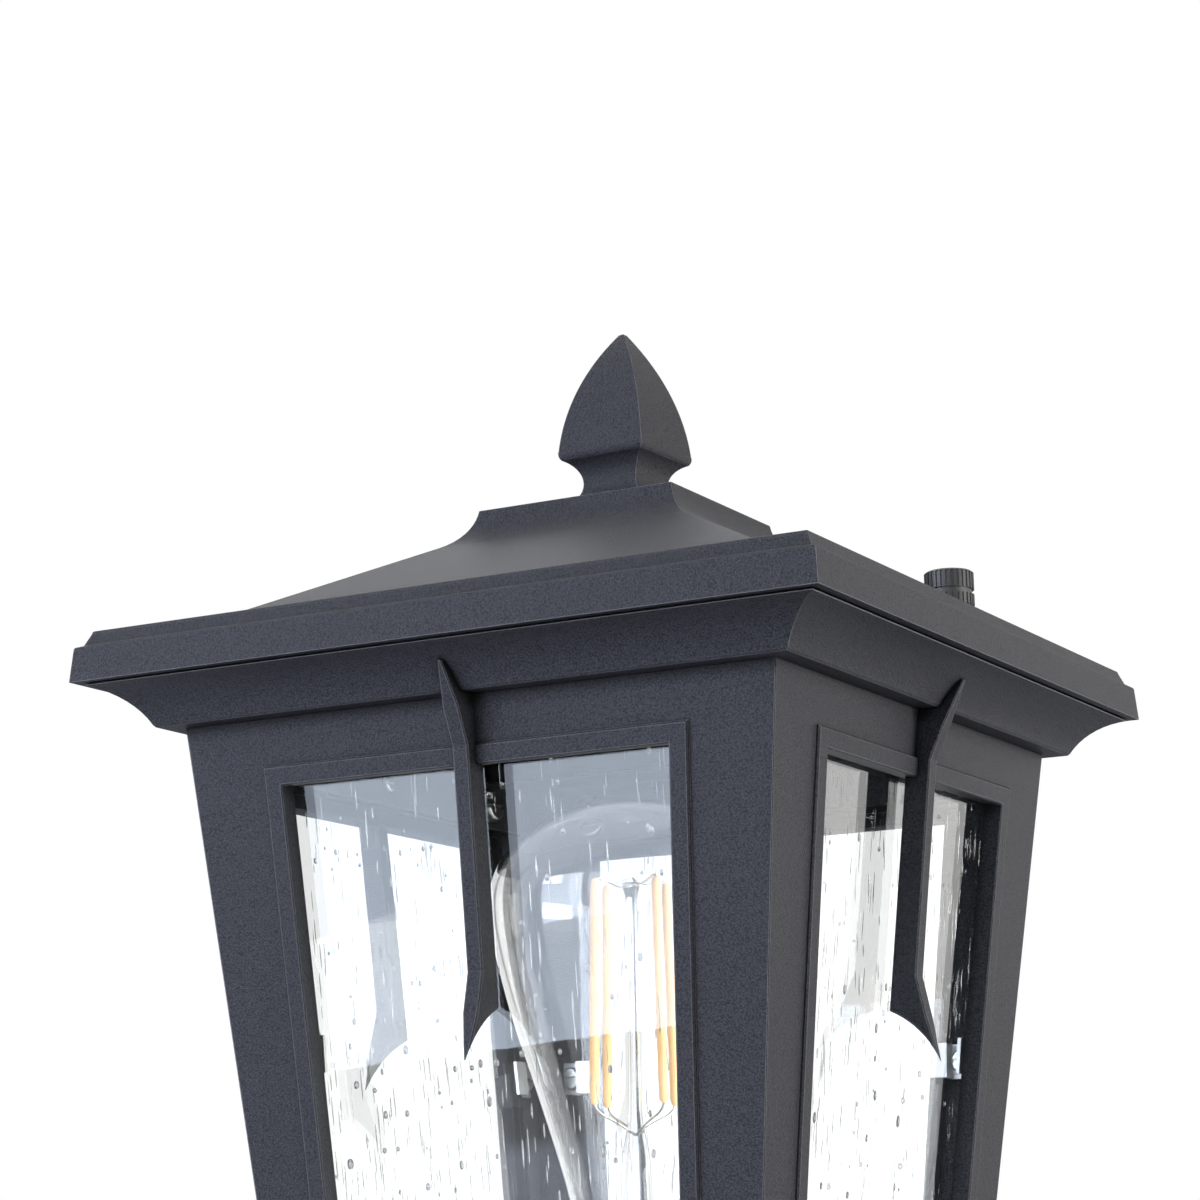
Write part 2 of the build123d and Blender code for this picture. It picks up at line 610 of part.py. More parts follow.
def cove_core():
    """The top frame's outside, filled in."""
    return square_moulding(profile((FRAME_HALF, FRAME_TOP), (FRAME_HALF, EAVE - COVE_SHADOW),
                                   *cove_outline(), (0, BODY_TOP), (0, FRAME_TOP)))


def top_frame():
    """Ring that ties the panels' tops: cove outside, channel inside, skirt behind the panels."""
    wall = FRAME_WALL
    inner_half = FRAME_HALF - wall
    start = (COVE_TOP_HALF - wall - EASE, EAVE - COVE_SHADOW)
    end = (COVE_FOOT_HALF - EASE, BODY_TOP + wall)
    channel = square_moulding(profile((0, FRAME_TOP - wall), (inner_half, FRAME_TOP - wall),
                                      (inner_half, EAVE), start,
                                      (*end, *arc_mid(start, end, COVE_SAG)), (0, BODY_TOP + wall)))
    hole_half = FRAME_INNER_HALF
    shaft = Pos(0, 0, EAVE) * Box(2 * hole_half, 2 * hole_half, 6 * COVE_DROP)
    behind = body_half(0) - PANEL_THICKNESS / math.cos(LEAN)
    low = SKIRT_DROP
    skirt = square_moulding(profile((behind, BODY_TOP), (behind - BODY_TAPER * low, BODY_TOP - low),
                                    (behind - BODY_TAPER * low - wall, BODY_TOP - low),
                                    (behind - wall, BODY_TOP), (behind - wall, BODY_TOP + wall),
                                    (behind, BODY_TOP + wall)))
    frame = cove_core() - channel - shaft + skirt
    for angle in STUDS.values():
        frame += Rot(0, 0, angle) * Pos(STUD_REACH, 0, 0) * rod(STUD_BOSS_RADIUS, EAVE, FRAME_TOP)
    for angle in STUDS.values():
        frame -= Rot(0, 0, angle) * Pos(STUD_REACH, 0, 0) * rod(STUD_RADIUS + FIT, EAVE + STUD_FLOOR,
                                                               FRAME_TOP + OVERCUT)
    for plane in panel_screw_planes("top"):
        frame -= in_all_sides(plane * Cylinder(PANEL_SCREW_RADIUS + FIT, 4 * FRAME_WALL))
    return frame - in_all_sides(bracket_screw_plane() * Cylinder(BRACKET_SCREW_RADIUS + FIT, 4 * FRAME_WALL))


def roof_gasket():
    """Flat gasket between the top frame and the roof's ledge."""
    outer, inner = FRAME_HALF - GASKET_MARGIN, SLOPE_FOOT_HALF + GASKET_MARGIN
    ring = square_moulding(profile((inner, FRAME_TOP), (outer, FRAME_TOP),
                                   (outer, FRAME_TOP + GASKET), (inner, FRAME_TOP + GASKET)))
    for angle in STUDS.values():
        ring -= Rot(0, 0, angle) * Pos(STUD_REACH, 0, 0) * rod(STUD_RADIUS + STUD_HOLE_CLEARANCE,
                                                              FRAME_TOP - OVERCUT, LEDGE)
    return ring


def roof_stud(angle):
    """Threaded stud in the top frame's boss."""
    stud = rod(STUD_RADIUS, EAVE + STUD_FLOOR, NUT_BASE + NUT_HEIGHT - NUT_CROWN)
    stud = chamfer(stud.edges().filter_by(GeomType.CIRCLE), STUD_RADIUS * 0.2)
    return Rot(0, 0, angle) * Pos(STUD_REACH, 0, 0) * stud


# ---------------------------------------------------------------- eave brackets
def eave_bracket():
    """Bracket under the front eave: a bar on edge whose two ends kick out to points."""
    top = BRACKET_TOP_BEND / math.cos(LEAN)
    bottom = top + BRACKET_STRAIGHT
    flare = BRACKET_FLARE_LENGTH
    proud = BRACKET_PROUD + BRACKET_FLARE_PROUD
    back = -BRACKET_BACK
    heel = (bottom + flare * 0.45, back)
    tip = (bottom + flare, proud)
    hollow = arc_mid(tip, heel, BRACKET_HOLLOW)
    plane = face_plane()

    def at(down, out):
        return plane.from_local_coords(Vector(0, -down, out))

    edges = [Line(at(top - flare, proud), at(top, BRACKET_PROUD)),
             Line(at(top, BRACKET_PROUD), at(bottom, BRACKET_PROUD)),
             Line(at(bottom, BRACKET_PROUD), at(*tip)),
             ThreePointArc(at(*tip), at(*hollow), at(*heel)),
             Line(at(*heel), at(top - flare, back)),
             Line(at(top - flare, back), at(top - flare, proud))]
    bar = extrude(make_face(edges), amount=BRACKET_HALF_WIDTH, both=True)
    tips = ((top - flare, 1), (bottom + flare, -1))
    points = []
    for down, way in tips:
        shoulder = down + way * BRACKET_POINT_LENGTH
        half, tip_half = BRACKET_HALF_WIDTH * way, BRACKET_TIP_HALF * way
        points += [(-half, shoulder), (-tip_half, down), (tip_half, down), (half, shoulder)]
    outline = make_face(Polyline(*[plane.from_local_coords(Vector(x, -down, 0)) for x, down in points],
                                 close=True))
    bar &= extrude(outline, amount=proud + BRACKET_BACK, both=True)
    bar = chamfer([e for e in bar.edges() if on_bracket_front(e)], BRACKET_EASE)
    bar = bar - cove_core() - panel_blank()
    return bar - bracket_screw_plane() * Cylinder(BRACKET_SCREW_RADIUS + FIT, 2 * BRACKET_SCREW_REACH)


def on_bracket_front(edge):
    """Whether an edge runs along the bracket's front face, at one of its two sides."""
    local = face_plane().to_local_coords(edge.center())
    return abs(local.X) > BRACKET_TIP_HALF * 1.1 and local.Z > BRACKET_PROUD - NEAR


def bracket_screw():
    """Screw from inside the top frame's skirt, through the panel, into the bracket."""
    return screw(bracket_screw_plane(), BRACKET_SCREW_RADIUS, 1.9 * BRACKET_SCREW_RADIUS,
                 1.3 * BRACKET_SCREW_RADIUS, BRACKET_SCREW_REACH - FIT)


# ---------------------------------------------------------------- roof
def roof_outline():
    """Corners of the roof's outside, from the fascia's foot up to the plateau's edge."""
    slope_drop = THROAT_HEIGHT - LEDGE_HEIGHT
    slope = math.atan2(slope_drop, SLOPE_FOOT_HALF - THROAT_HALF)
    chord = math.atan2(PLATEAU_HEIGHT - THROAT_HEIGHT, THROAT_HALF - PLATEAU_HALF)
    length = math.hypot(PLATEAU_HEIGHT - THROAT_HEIGHT, THROAT_HALF - PLATEAU_HALF)
    sag = length / 2 * math.tan((chord - slope) / 2)
    throat, plateau = (THROAT_HALF, EAVE + THROAT_HEIGHT), (PLATEAU_HALF, PLATEAU)
    top = EAVE + FASCIA_HEIGHT
    half = FASCIA_HALF - FASCIA_LEAN
    foot = half - STEP_WIDTH
    roll, tuck = EDGE_ROLL, EDGE_ROLL * (1 - math.sqrt(0.5))
    return [(FASCIA_HALF, EAVE), (half, top - roll), (half - roll, top, half - tuck, top - tuck),
            (foot, top + STEP_RISE), (LIP_TOP_HALF, LEDGE - roll),
            (LIP_TOP_HALF - roll, LEDGE, LIP_TOP_HALF - tuck, LEDGE - tuck),
            (SLOPE_FOOT_HALF, LEDGE), throat, (*plateau, *arc_mid(plateau, throat, sag))]


def roof_cap():
    """Hipped roof casting: skirt and fascia, stepped lip, ledge, four slopes, throat, plateau."""
    outside = square_moulding(profile(*roof_outline(), (0, PLATEAU), (0, EAVE)))
    under = LEDGE - ROOF_WALL
    rise = (THROAT_HEIGHT - LEDGE_HEIGHT) / (SLOPE_FOOT_HALF - THROAT_HALF)
    foot = SLOPE_FOOT_HALF - ROOF_WALL * 0.5
    throat_half = THROAT_HALF - ROOF_WALL * 0.5
    throat = (throat_half, under + (foot - throat_half) * rise)
    crown = (PLATEAU_HALF - ROOF_WALL, ROOF_UNDER)
    inside = square_moulding(profile((SKIRT_HALF, EAVE - OVERCUT), (SKIRT_HALF, under), (foot, under),
                                     throat, crown, (0, ROOF_UNDER), (0, EAVE - OVERCUT)))
    roof = outside - inside - rod(ROD_RADIUS + FIT, ROOF_UNDER - OVERCUT, PLATEAU + OVERCUT)
    for angle in STUDS.values():
        hole = rod(STUD_RADIUS + STUD_HOLE_CLEARANCE, under - OVERCUT, LEDGE + OVERCUT)
        roof -= Rot(0, 0, angle) * Pos(STUD_REACH, 0, 0) * hole
    return roof


def finial():
    """Square spear: plinth, hollow neck, rounded shoulders and bowed sides up to the point."""
    base = PLATEAU
    plinth = FINIAL_PLINTH_HALF
    neck = (FINIAL_NECK_HALF, base + FINIAL_NECK_RISE)
    wide = base + FINIAL_WIDE_RISE
    under = (FINIAL_WIDE_HALF - FINIAL_TUCK, wide - FINIAL_TUCK_RISE)
    shoulder = (FINIAL_WIDE_HALF, wide + EASE)
    tip = (FINIAL_TIP_HALF, base + FINIAL_RISE)
    top = FINIAL_PLINTH_HEIGHT
    body = square_moulding(profile((plinth, base), (plinth, base + top),
                                   (*under, *neck),
                                   (*shoulder, *arc_mid(under, shoulder, FINIAL_TUCK * 0.6)),
                                   (*tip, *arc_mid(shoulder, tip, FINIAL_BULGE)),
                                   (0, base + FINIAL_RISE + FINIAL_POINT), (0, base)))
    body -= rod(ROD_RADIUS + FIT, base - OVERCUT, base + ROD_IN_FINIAL + FIT)
    return Rot(0, 0, FINIAL_TURN) * body


def finial_rod():
    """Threaded rod from the finial down through the plateau."""
    low = ROOF_UNDER - WASHER_THICKNESS - TUBE_NUT_HEIGHT - TUBE_TAIL
    return rod(ROD_RADIUS, low, PLATEAU + ROD_IN_FINIAL)


def finial_nut():
    """Washer and nut under the plateau, on the finial's rod."""
    low = ROOF_UNDER - WASHER_THICKNESS - TUBE_NUT_HEIGHT
    return hex_nut(3.4 * ROD_RADIUS, ROD_RADIUS + FIT, low, TUBE_NUT_HEIGHT)


def finial_washer():
    """Washer between the finial's nut and the roof."""
    return rod(2.4 * ROD_RADIUS, ROOF_UNDER - WASHER_THICKNESS, ROOF_UNDER, ROD_RADIUS + FIT)


# ---------------------------------------------------------------- knurled nuts
def nut_washer(angle):
    """Sealing washer under a knurled nut."""
    washer = rod(WASHER_RADIUS, LEDGE, NUT_BASE, STUD_RADIUS + FIT)
    return Rot(0, 0, angle) * Pos(STUD_REACH, 0, 0) * washer


def knurled_nut(angle):
    """Round cap nut: two knurled bands with a groove between them and a low domed top."""
    top = NUT_BASE + NUT_HEIGHT
    groove = NUT_BASE + GROOVE_LEVEL
    r = NUT_RADIUS
    inner = r - GROOVE_DEPTH
    dome_edge = r - NUT_EDGE - NUT_DOME / 2
    body = turned_profile((0, NUT_BASE), (r - NUT_EDGE, NUT_BASE), (r, NUT_BASE + NUT_EDGE), (r, groove),
                          (inner, groove), (inner, groove + GROOVE_HEIGHT),
                          (r, groove + GROOVE_HEIGHT), (r, top - 2 * NUT_DOME), (dome_edge, top - NUT_DOME),
                          crown(dome_edge, top - NUT_DOME, NUT_DOME))
    cutter = Pos(0, 0, NUT_BASE) * extrude(RectangleRounded(2 * KNURL_DEPTH, KNURL_DEPTH * 1.6,
                                                            KNURL_DEPTH * 0.5), amount=NUT_HEIGHT - 2 * NUT_DOME)
    for k in range(KNURLS):
        body -= Rot(0, 0, 360 / KNURLS * k) * Pos(r + KNURL_DEPTH * 0.3, 0, 0) * cutter
    body -= rod(STUD_RADIUS + FIT, NUT_BASE - OVERCUT, top - NUT_CROWN + FIT)
    return Rot(0, 0, angle) * Pos(STUD_REACH, 0, 0) * body


# ---------------------------------------------------------------- lamp
def lamp_form(inset):
    """Solid teardrop, inset from the lamp's outside: low dome, long taper and straight neck."""
    r, neck = LAMP_RADIUS - inset, LAMP_NECK_RADIUS - inset
    shoulder, foot = LAMP_TIP + CAP_HEIGHT + LAMP_COLLAR, LAMP_NECK_FOOT
    drop = LAMP_WIDEST - shoulder
    top, bottom = Vector(0, 0, LAMP_TOP - inset), Vector(0, 0, foot)
    dome = [Vector(0, -r * math.sin(a), LAMP_WIDEST + (LAMP_DOME - inset) * math.cos(a))
            for a in (math.pi / 8, math.pi / 4, math.pi * 3 / 8, math.pi / 2)]
    shares = ((0.24, 0.815), (0.5, 0.46), (0.77, 0.12))
    taper = [Vector(0, -(neck + (r - neck) * width), LAMP_WIDEST - drop * down)
             for down, width in shares]
    end, corner = Vector(0, -neck, shoulder), Vector(0, -neck, foot)
    curve = Spline(top, *dome, *taper, end, tangents=((0, -1, 0), (0, 0, -1)))
    return revolve(make_face([curve, Line(end, corner), Line(corner, bottom), Line(bottom, top)]),
                   Axis.Z)


def lamp_glass():
    """Teardrop bulb, blown thin, its neck inside the screw base."""
    mouth = rod(LAMP_NECK_RADIUS - LAMP_WALL, LAMP_NECK_FOOT - OVERCUT, LAMP_NECK_FOOT + LAMP_WALL)
    return lamp_form(0) - lamp_form(LAMP_WALL) - mouth


def filament_ends():
    """Upper and lower end of each filament stick."""
    high = FILAMENT_HEAD
    ends = []
    for k in range(FILAMENTS):
        a = math.radians(FILAMENT_TURN + 360 / FILAMENTS * k)
        ends.append((Vector(FILAMENT_TOP_RING * math.cos(a), FILAMENT_TOP_RING * math.sin(a), high),
                     Vector(FILAMENT_FOOT_RING * math.cos(a), FILAMENT_FOOT_RING * math.sin(a),
                            high - FILAMENT_LENGTH)))
    return ends


def lamp_filaments():
    """Filament sticks round the stem."""
    return [bar_between(high, low, FILAMENT_RADIUS) for high, low in filament_ends()]


def lamp_stem():
    """Glass mount: flared foot in the neck, pinched waist and a rod up to the filaments' tops."""
    foot, hub, r = LAMP_NECK_FOOT, FILAMENT_HEAD, STEM_ROD_RADIUS
    pinch = hub - FILAMENT_LENGTH - PINCH_DROP
    flare = LAMP_NECK_RADIUS - LAMP_WALL - 2 * RUN
    rim, throat = (flare, foot + LAMP_WALL), (STEM_WAIST_RADIUS + LAMP_WALL, foot + STEM_FLARE_HEIGHT)
    return turned_profile((0, foot), (flare, foot), rim, (*throat, *arc_mid(rim, throat, -2 * r)),
                          (STEM_WAIST_RADIUS, pinch - 2 * r), (r, pinch + 2 * r), (r, hub - 2 * r),
                          (STEM_HEAD_RADIUS, hub - r), (STEM_HEAD_RADIUS, hub), (0, hub + r / 2))


def lamp_wires():
    """Support wires: from the stem's head and pinch to the ends of the filaments."""
    hub = Vector(0, 0, FILAMENT_HEAD - STEM_ROD_RADIUS / 2)
    pinch = Vector(0, 0, FILAMENT_HEAD - FILAMENT_LENGTH - PINCH_DROP)
    core = lamp_stem()
    wires = []
    for (high, low), stick in zip(filament_ends(), lamp_filaments()):
        reach = (high - low).normalized() * (2 * WIRE_RADIUS)
        wires.append(bar_between(hub, high + reach, WIRE_RADIUS) - core - stick)
        wires.append(bar_between(pinch, low - reach, WIRE_RADIUS) - core - stick)
    return wires


def lamp_base():
    """Screw base of the lamp, its thread as rounded ribs."""
    low, high = LAMP_TIP + CAP_TIP + CAP_CONE, LAMP_TIP + CAP_HEIGHT
    r, root = CAP_RADIUS, CAP_RADIUS - CAP_THREAD
    bore = LAMP_NECK_RADIUS + FIT
    ribs = int((high - low) / THREAD_PITCH) - 1
    cone = CAP_TIP_RADIUS + CAP_CONE_FLARE
    corners = [(cone, low), (root, low)]
    for k in range(ribs):
        z = low + THREAD_PITCH * k
        corners.append((root, z + THREAD_PITCH, r, z + THREAD_PITCH / 2))
    corners += [(root, high), (bore, high), (bore, low + CAP_FLOOR), (cone, low + CAP_FLOOR)]
    return turned_profile(*corners)


def lamp_insulator():
    """Black glass cone between the screw base and the centre contact."""
    low = LAMP_TIP + CAP_TIP
    high = low + CAP_CONE
    return turned_profile((0, low), (CAP_TIP_RADIUS, low), (CAP_TIP_RADIUS + CAP_CONE_FLARE, high),
                          (0, high))


def lamp_contact():
    """Solder button at the lamp's foot."""
    low, high, r = LAMP_TIP, LAMP_TIP + CAP_TIP, CAP_TIP_RADIUS
    return turned_profile((0, low), (r * 0.5, low), (r * 0.85, low + CAP_TIP * 0.4), (r, high),
                          (0, high))


# ---------------------------------------------------------------- lampholder and threaded stem
def holder_body():
    """Round insulating body of the lampholder."""
    inner = CAP_RADIUS + RUN + HOLDER_SHELL_WALL + RUN
    r, step = HOLDER_RADIUS, HOLDER_STEP
    top = HOLDER_BASE + HOLDER_HEIGHT
    return turned_profile((0, HOLDER_BASE), (r, HOLDER_BASE), (r, top - HOLDER_LIP),
                          (r - step, top - HOLDER_LIP + step), (r - step, top - EASE),
                          (r - step - EASE, top), (inner, top), (inner, HOLDER_SEAT), (0, HOLDER_SEAT))


def holder_shell():
    """Screw shell inside the lampholder, resting on its floor."""
    inner = CAP_RADIUS + RUN
    outer = inner + HOLDER_SHELL_WALL
    low, high = HOLDER_SEAT, HOLDER_BASE + HOLDER_HEIGHT - HOLDER_FLOOR
    flange, wall = inner - SHELL_FLANGE, HOLDER_SHELL_WALL
    return turned_profile((flange, low), (outer, low), (outer, high), (inner, high),
                          (inner, low + wall), (flange, low + wall))


def holder_contact():
    """Centre contact on the lampholder's floor."""
    disc = rod(CAP_TIP_RADIUS, HOLDER_SEAT, HOLDER_SEAT + CAP_TIP / 2)
    button = rod(CAP_TIP_RADIUS * 0.6, HOLDER_SEAT, LAMP_TIP - CONTACT_GAP)
    return disc + button


def holder_cap():
    """Domed cap under the lampholder, with the bushing that takes the threaded stem."""
    r, high, low, wall = HOLDER_RADIUS, HOLDER_BASE, HOLDER_CAP_BASE, HOLDER_CAP_WALL
    hub, bushing = TUBE_RADIUS + HUB_WALL, low + TUBE_GRIP + OVERCUT
    foot, foot_in = (hub + 2, low), (hub + 2, low + wall)
    rim, rim_in = (r, high), (r - wall, high)
    return turned_profile((TUBE_RADIUS + FIT, low), foot, (*rim, *arc_mid(foot, rim, HOLDER_DOME)),
                          rim_in, (*foot_in, *arc_mid(rim_in, foot_in, wall / 4 - HOLDER_DOME)), (hub, low + wall),
                          (hub, bushing), (TUBE_RADIUS + FIT, bushing))


def stem_tube():
    """Hollow threaded stem that clamps fitter, neck and tray together and carries the lampholder."""
    return rod(TUBE_RADIUS, TUBE_BOTTOM, HOLDER_CAP_BASE + TUBE_GRIP, TUBE_RADIUS - TUBE_WALL)


def stem_nut_lower():
    """Nut under the fitter's cap."""
    low = FITTER_CEILING - TUBE_NUT_HEIGHT
    return hex_nut(TUBE_NUT_FLATS, TUBE_RADIUS + FIT, low, TUBE_NUT_HEIGHT)


def stem_nut_upper():
    """Nut on the tray's floor."""
    return hex_nut(TUBE_NUT_FLATS, TUBE_RADIUS + FIT, BODY_BASE, TUBE_NUT_HEIGHT)


def stem_sleeve():
    """Plain tube that hides the stem between the tray and the lampholder."""
    return rod(SLEEVE_RADIUS, BODY_BASE, HOLDER_CAP_BASE, SLEEVE_RADIUS - SLEEVE_WALL)


# ---------------------------------------------------------------- assembly
def build():
    """All pieces by node name; a list is a group of separate solids in one node."""
    parts = {
        "post_fitter": post_fitter(),
        "base_neck": base_neck(),
        "base_tray": base_tray(),
        "top_frame": top_frame(),
        "roof_gasket": roof_gasket(),
        "roof_cap": roof_cap(),
        "finial": finial(),
        "finial_rod": finial_rod(),
        "finial_washer": finial_washer(),
        "finial_nut": finial_nut(),
        "stem_tube": stem_tube(),
        "stem_nut_lower": stem_nut_lower(),
        "stem_nut_upper": stem_nut_upper(),
        "stem_sleeve": stem_sleeve(),
        "lampholder_body": holder_body(),
        "lampholder_shell": holder_shell(),
        "lampholder_contact": holder_contact(),
        "lampholder_cap": holder_cap(),
        "lamp_glass": lamp_glass(),
        "lamp_stem": lamp_stem(),
        "lamp_filaments": lamp_filaments(),
        "lamp_wires": lamp_wires(),
        "lamp_base": lamp_base(),
        "lamp_insulator": lamp_insulator(),
        "lamp_contact": lamp_contact(),
        "roof_studs": [roof_stud(angle) for angle in STUDS.values()],
    }
    front = {"side_panel": side_panel(), "glass_pane": glass_pane(), "eave_bracket": eave_bracket()}
    for side, angle in SIDES.items():
        for name, shape in front.items():
            parts[f"{name}_{side}"] = Rot(0, 0, angle) * shape
    clips = [glass_clip(plane, side) for plane, side in clip_planes()]
    clip_screws = [clip_screw(plane) for plane, _ in clip_planes()]
    top_screws = [panel_screw(plane, FRAME_WALL) for plane in panel_screw_planes("top")]
    bottom_screws = [panel_screw(plane, CURB_WALL) for plane in panel_screw_planes("bottom")]
    for name, group in (("glass_clips", clips), ("clip_screws", clip_screws),
                        ("panel_screws_top", top_screws), ("panel_screws_bottom", bottom_screws),
                        ("bracket_screws", [bracket_screw()])):
        parts[name] = [copy for shape in group for copy in in_all_sides(shape)]
    for side, angle in STUDS.items():
        parts[f"knurled_nut_{side}"] = knurled_nut(angle)
        parts[f"nut_washer_{side}"] = nut_washer(angle)
    for side, angle in THUMBSCREWS.items():
        parts[f"thumbscrew_{side}"] = thumbscrew(angle)
    return parts


def write(parts):
    """Write one STEP file per node."""
    os.makedirs("parts", exist_ok=True)
    for name, shape in parts.items():
        if isinstance(shape, list):
            shape = Compound(children=[solid for piece in shape for solid in piece.solids()])
        export_step(shape, f"parts/{name}.step")


write(build())
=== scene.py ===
"""Square post top lantern: the finishes, the seeded windows, the lamp and the studio.

Lengths are in metres and places are in the frame's own axes: +Z up the post, -Y to the front.
"""

import json
import logging
import math
import random
from collections.abc import Iterable, Sequence
from dataclasses import dataclass, field

import bpy
from mathutils import Matrix, Vector

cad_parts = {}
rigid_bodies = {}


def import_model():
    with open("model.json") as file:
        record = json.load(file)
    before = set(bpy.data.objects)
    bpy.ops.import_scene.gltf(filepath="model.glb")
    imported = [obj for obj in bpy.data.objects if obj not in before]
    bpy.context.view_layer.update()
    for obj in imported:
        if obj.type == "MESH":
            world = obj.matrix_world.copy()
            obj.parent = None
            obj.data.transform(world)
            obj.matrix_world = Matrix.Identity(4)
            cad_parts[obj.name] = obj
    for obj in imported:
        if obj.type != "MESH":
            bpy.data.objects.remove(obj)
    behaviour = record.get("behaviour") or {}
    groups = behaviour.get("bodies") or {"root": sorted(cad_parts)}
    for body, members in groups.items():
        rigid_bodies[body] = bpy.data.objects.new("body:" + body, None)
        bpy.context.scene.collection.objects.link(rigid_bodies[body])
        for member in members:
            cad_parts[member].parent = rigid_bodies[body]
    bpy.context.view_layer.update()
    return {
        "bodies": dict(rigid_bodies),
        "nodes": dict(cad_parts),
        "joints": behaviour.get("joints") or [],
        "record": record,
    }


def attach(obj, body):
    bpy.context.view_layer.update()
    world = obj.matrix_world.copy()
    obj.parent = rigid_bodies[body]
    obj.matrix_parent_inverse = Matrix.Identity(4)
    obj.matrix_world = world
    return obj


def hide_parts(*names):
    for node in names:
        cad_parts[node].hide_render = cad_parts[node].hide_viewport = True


Piece = bpy.types.Object
Material = bpy.types.Material
Tree = bpy.types.NodeTree
Node = bpy.types.Node
Socket = bpy.types.NodeSocket
Pair = tuple[float, float]
Place = Colour = tuple[float, float, float]
Outline = Sequence[Pair]

LOG = logging.getLogger("post_lantern")
MM = 0.001
SIDES = ("front", "right", "back", "left")
WHITE = (1.0, 1.0, 1.0)
FIRST_FACE = 0.01
MERGE_LIMIT = 1e-6


# ------------------------------------------------------------------ the bench: modelling by hand
def nothing_selected() -> None:
    """Leave edit mode and deselect every object."""
    if bpy.context.object is not None and bpy.context.object.mode != "OBJECT":
        bpy.ops.object.mode_set(mode="OBJECT")
    bpy.ops.object.select_all(action="DESELECT")


def take(piece: Piece) -> Piece:
    """Select one object alone and make it active.

    Args:
        piece: the object to work on.

    Returns:
        The same object.
    """
    nothing_selected()
    piece.select_set(True)
    bpy.context.view_layer.objects.active = piece
    return piece


def added(name: str) -> Piece:
    """Name the object that an operator has just added.

    Args:
        name: the piece's name.

    Returns:
        The new object.
    """
    piece = bpy.context.object
    piece.name = name
    piece.data.name = name
    return piece


def edit(piece: Piece) -> None:
    """Open a piece in edit mode with all its vertices selected.

    Args:
        piece: the object to open.
    """
    take(piece)
    bpy.ops.object.mode_set(mode="EDIT")
    bpy.ops.mesh.select_mode(type="VERT")
    bpy.ops.mesh.select_all(action="SELECT")


def settle(piece: Piece, smooth_deg: float = 30.0) -> Piece:
    """Merge doubles, turn the faces outwards, put the object at the origin and shade it.

    Args:
        piece: the object to finish.
        smooth_deg: edges sharper than this stay sharp.

    Returns:
        The same object.
    """
    edit(piece)
    bpy.ops.mesh.remove_doubles(threshold=MERGE_LIMIT)
    bpy.ops.mesh.normals_make_consistent(inside=False)
    bpy.ops.object.mode_set(mode="OBJECT")
    bpy.ops.object.transform_apply(location=True, rotation=True, scale=True)
    bpy.ops.object.shade_smooth_by_angle(angle=math.radians(smooth_deg))
    return piece


def with_modifier(piece: Piece, kind: str, **settings: object) -> Piece:
    """Add a modifier and apply it.

    Args:
        piece: the object to change.
        kind: the modifier's type.
        **settings: its settings by name.

    Returns:
        The same object.
    """
    take(piece)
    bpy.ops.object.modifier_add(type=kind)
    modifier = piece.modifiers[-1]
    for key, value in settings.items():
        setattr(modifier, key, value)
    bpy.ops.object.modifier_apply(modifier=modifier.name)
    return piece


def blown(piece: Piece) -> Piece:
    """Round a turned form as blown or drawn glass is.

    Args:
        piece: the form.

    Returns:
        The same object.
    """
    with_modifier(piece, "SUBSURF", levels=1, render_levels=1)
    take(piece)
    bpy.ops.object.shade_smooth()
    return piece


def moved_copy(piece: Piece, name: str, place: Matrix) -> Piece:
    """Copy a piece with a mesh of its own, its place in the mesh.

    Args:
        piece: the piece to copy.
        name: the copy's name.
        place: the copy's place from the first piece.

    Returns:
        The copy.
    """
    twin = piece.copy()
    twin.data = piece.data.copy()
    twin.name = twin.data.name = name
    bpy.context.scene.collection.objects.link(twin)
    twin.data.transform(place)
    return twin


def joined(pieces: Sequence[Piece], name: str) -> Piece:
    """Join pieces into one object.

    Args:
        pieces: the pieces, the first of which stays.
        name: the joined piece's name.

    Returns:
        The joined object.
    """
    nothing_selected()
    for piece in pieces:
        piece.select_set(True)
    bpy.context.view_layer.objects.active = pieces[0]
    bpy.ops.object.join()
    return added(name)


def drawn(name: str, outline: Outline) -> Piece:
    """Draw an outline in the XZ plane as a line of vertices, and leave it open in edit mode.

    Args:
        name: the piece's name.
        outline: (radius, height) points in order.

    Returns:
        The new object.
    """
    nothing_selected()
    bpy.ops.mesh.primitive_plane_add(size=FIRST_FACE, location=(0, 0, 0))
    piece = added(name)
    edit(piece)
    bpy.ops.mesh.merge(type="CENTER")
    places = [Vector((radius, 0, height)) for radius, height in outline]
    bpy.ops.transform.translate(value=places[0])
    for here, there in zip(places, places[1:]):
        bpy.ops.mesh.extrude_vertices_move(TRANSFORM_OT_translate={"value": there - here})
    return piece


def turned(name: str, outline: Outline, steps: int) -> Piece:
    """Turn an outline round the Z axis, as on a lathe.

    Args:
        name: the piece's name.
        outline: (radius, height) points in order; a radius of 0 closes the form on the axis.
        steps: faces round the piece.

    Returns:
        The new object, open where the outline is.
    """
    piece = drawn(name, outline)
    bpy.ops.mesh.select_all(action="SELECT")
    bpy.ops.mesh.spin(steps=steps, angle=2 * math.pi, center=(0, 0, 0), axis=(0, 0, 1))
    bpy.ops.object.mode_set(mode="OBJECT")
    return settle(piece)


def dress(piece: Piece, finish: Material) -> None:
    """Give a piece one material.

    Args:
        piece: a new piece or a node of the frame.
        finish: its material.
    """
    piece.data.materials.clear()
    piece.data.materials.append(finish)


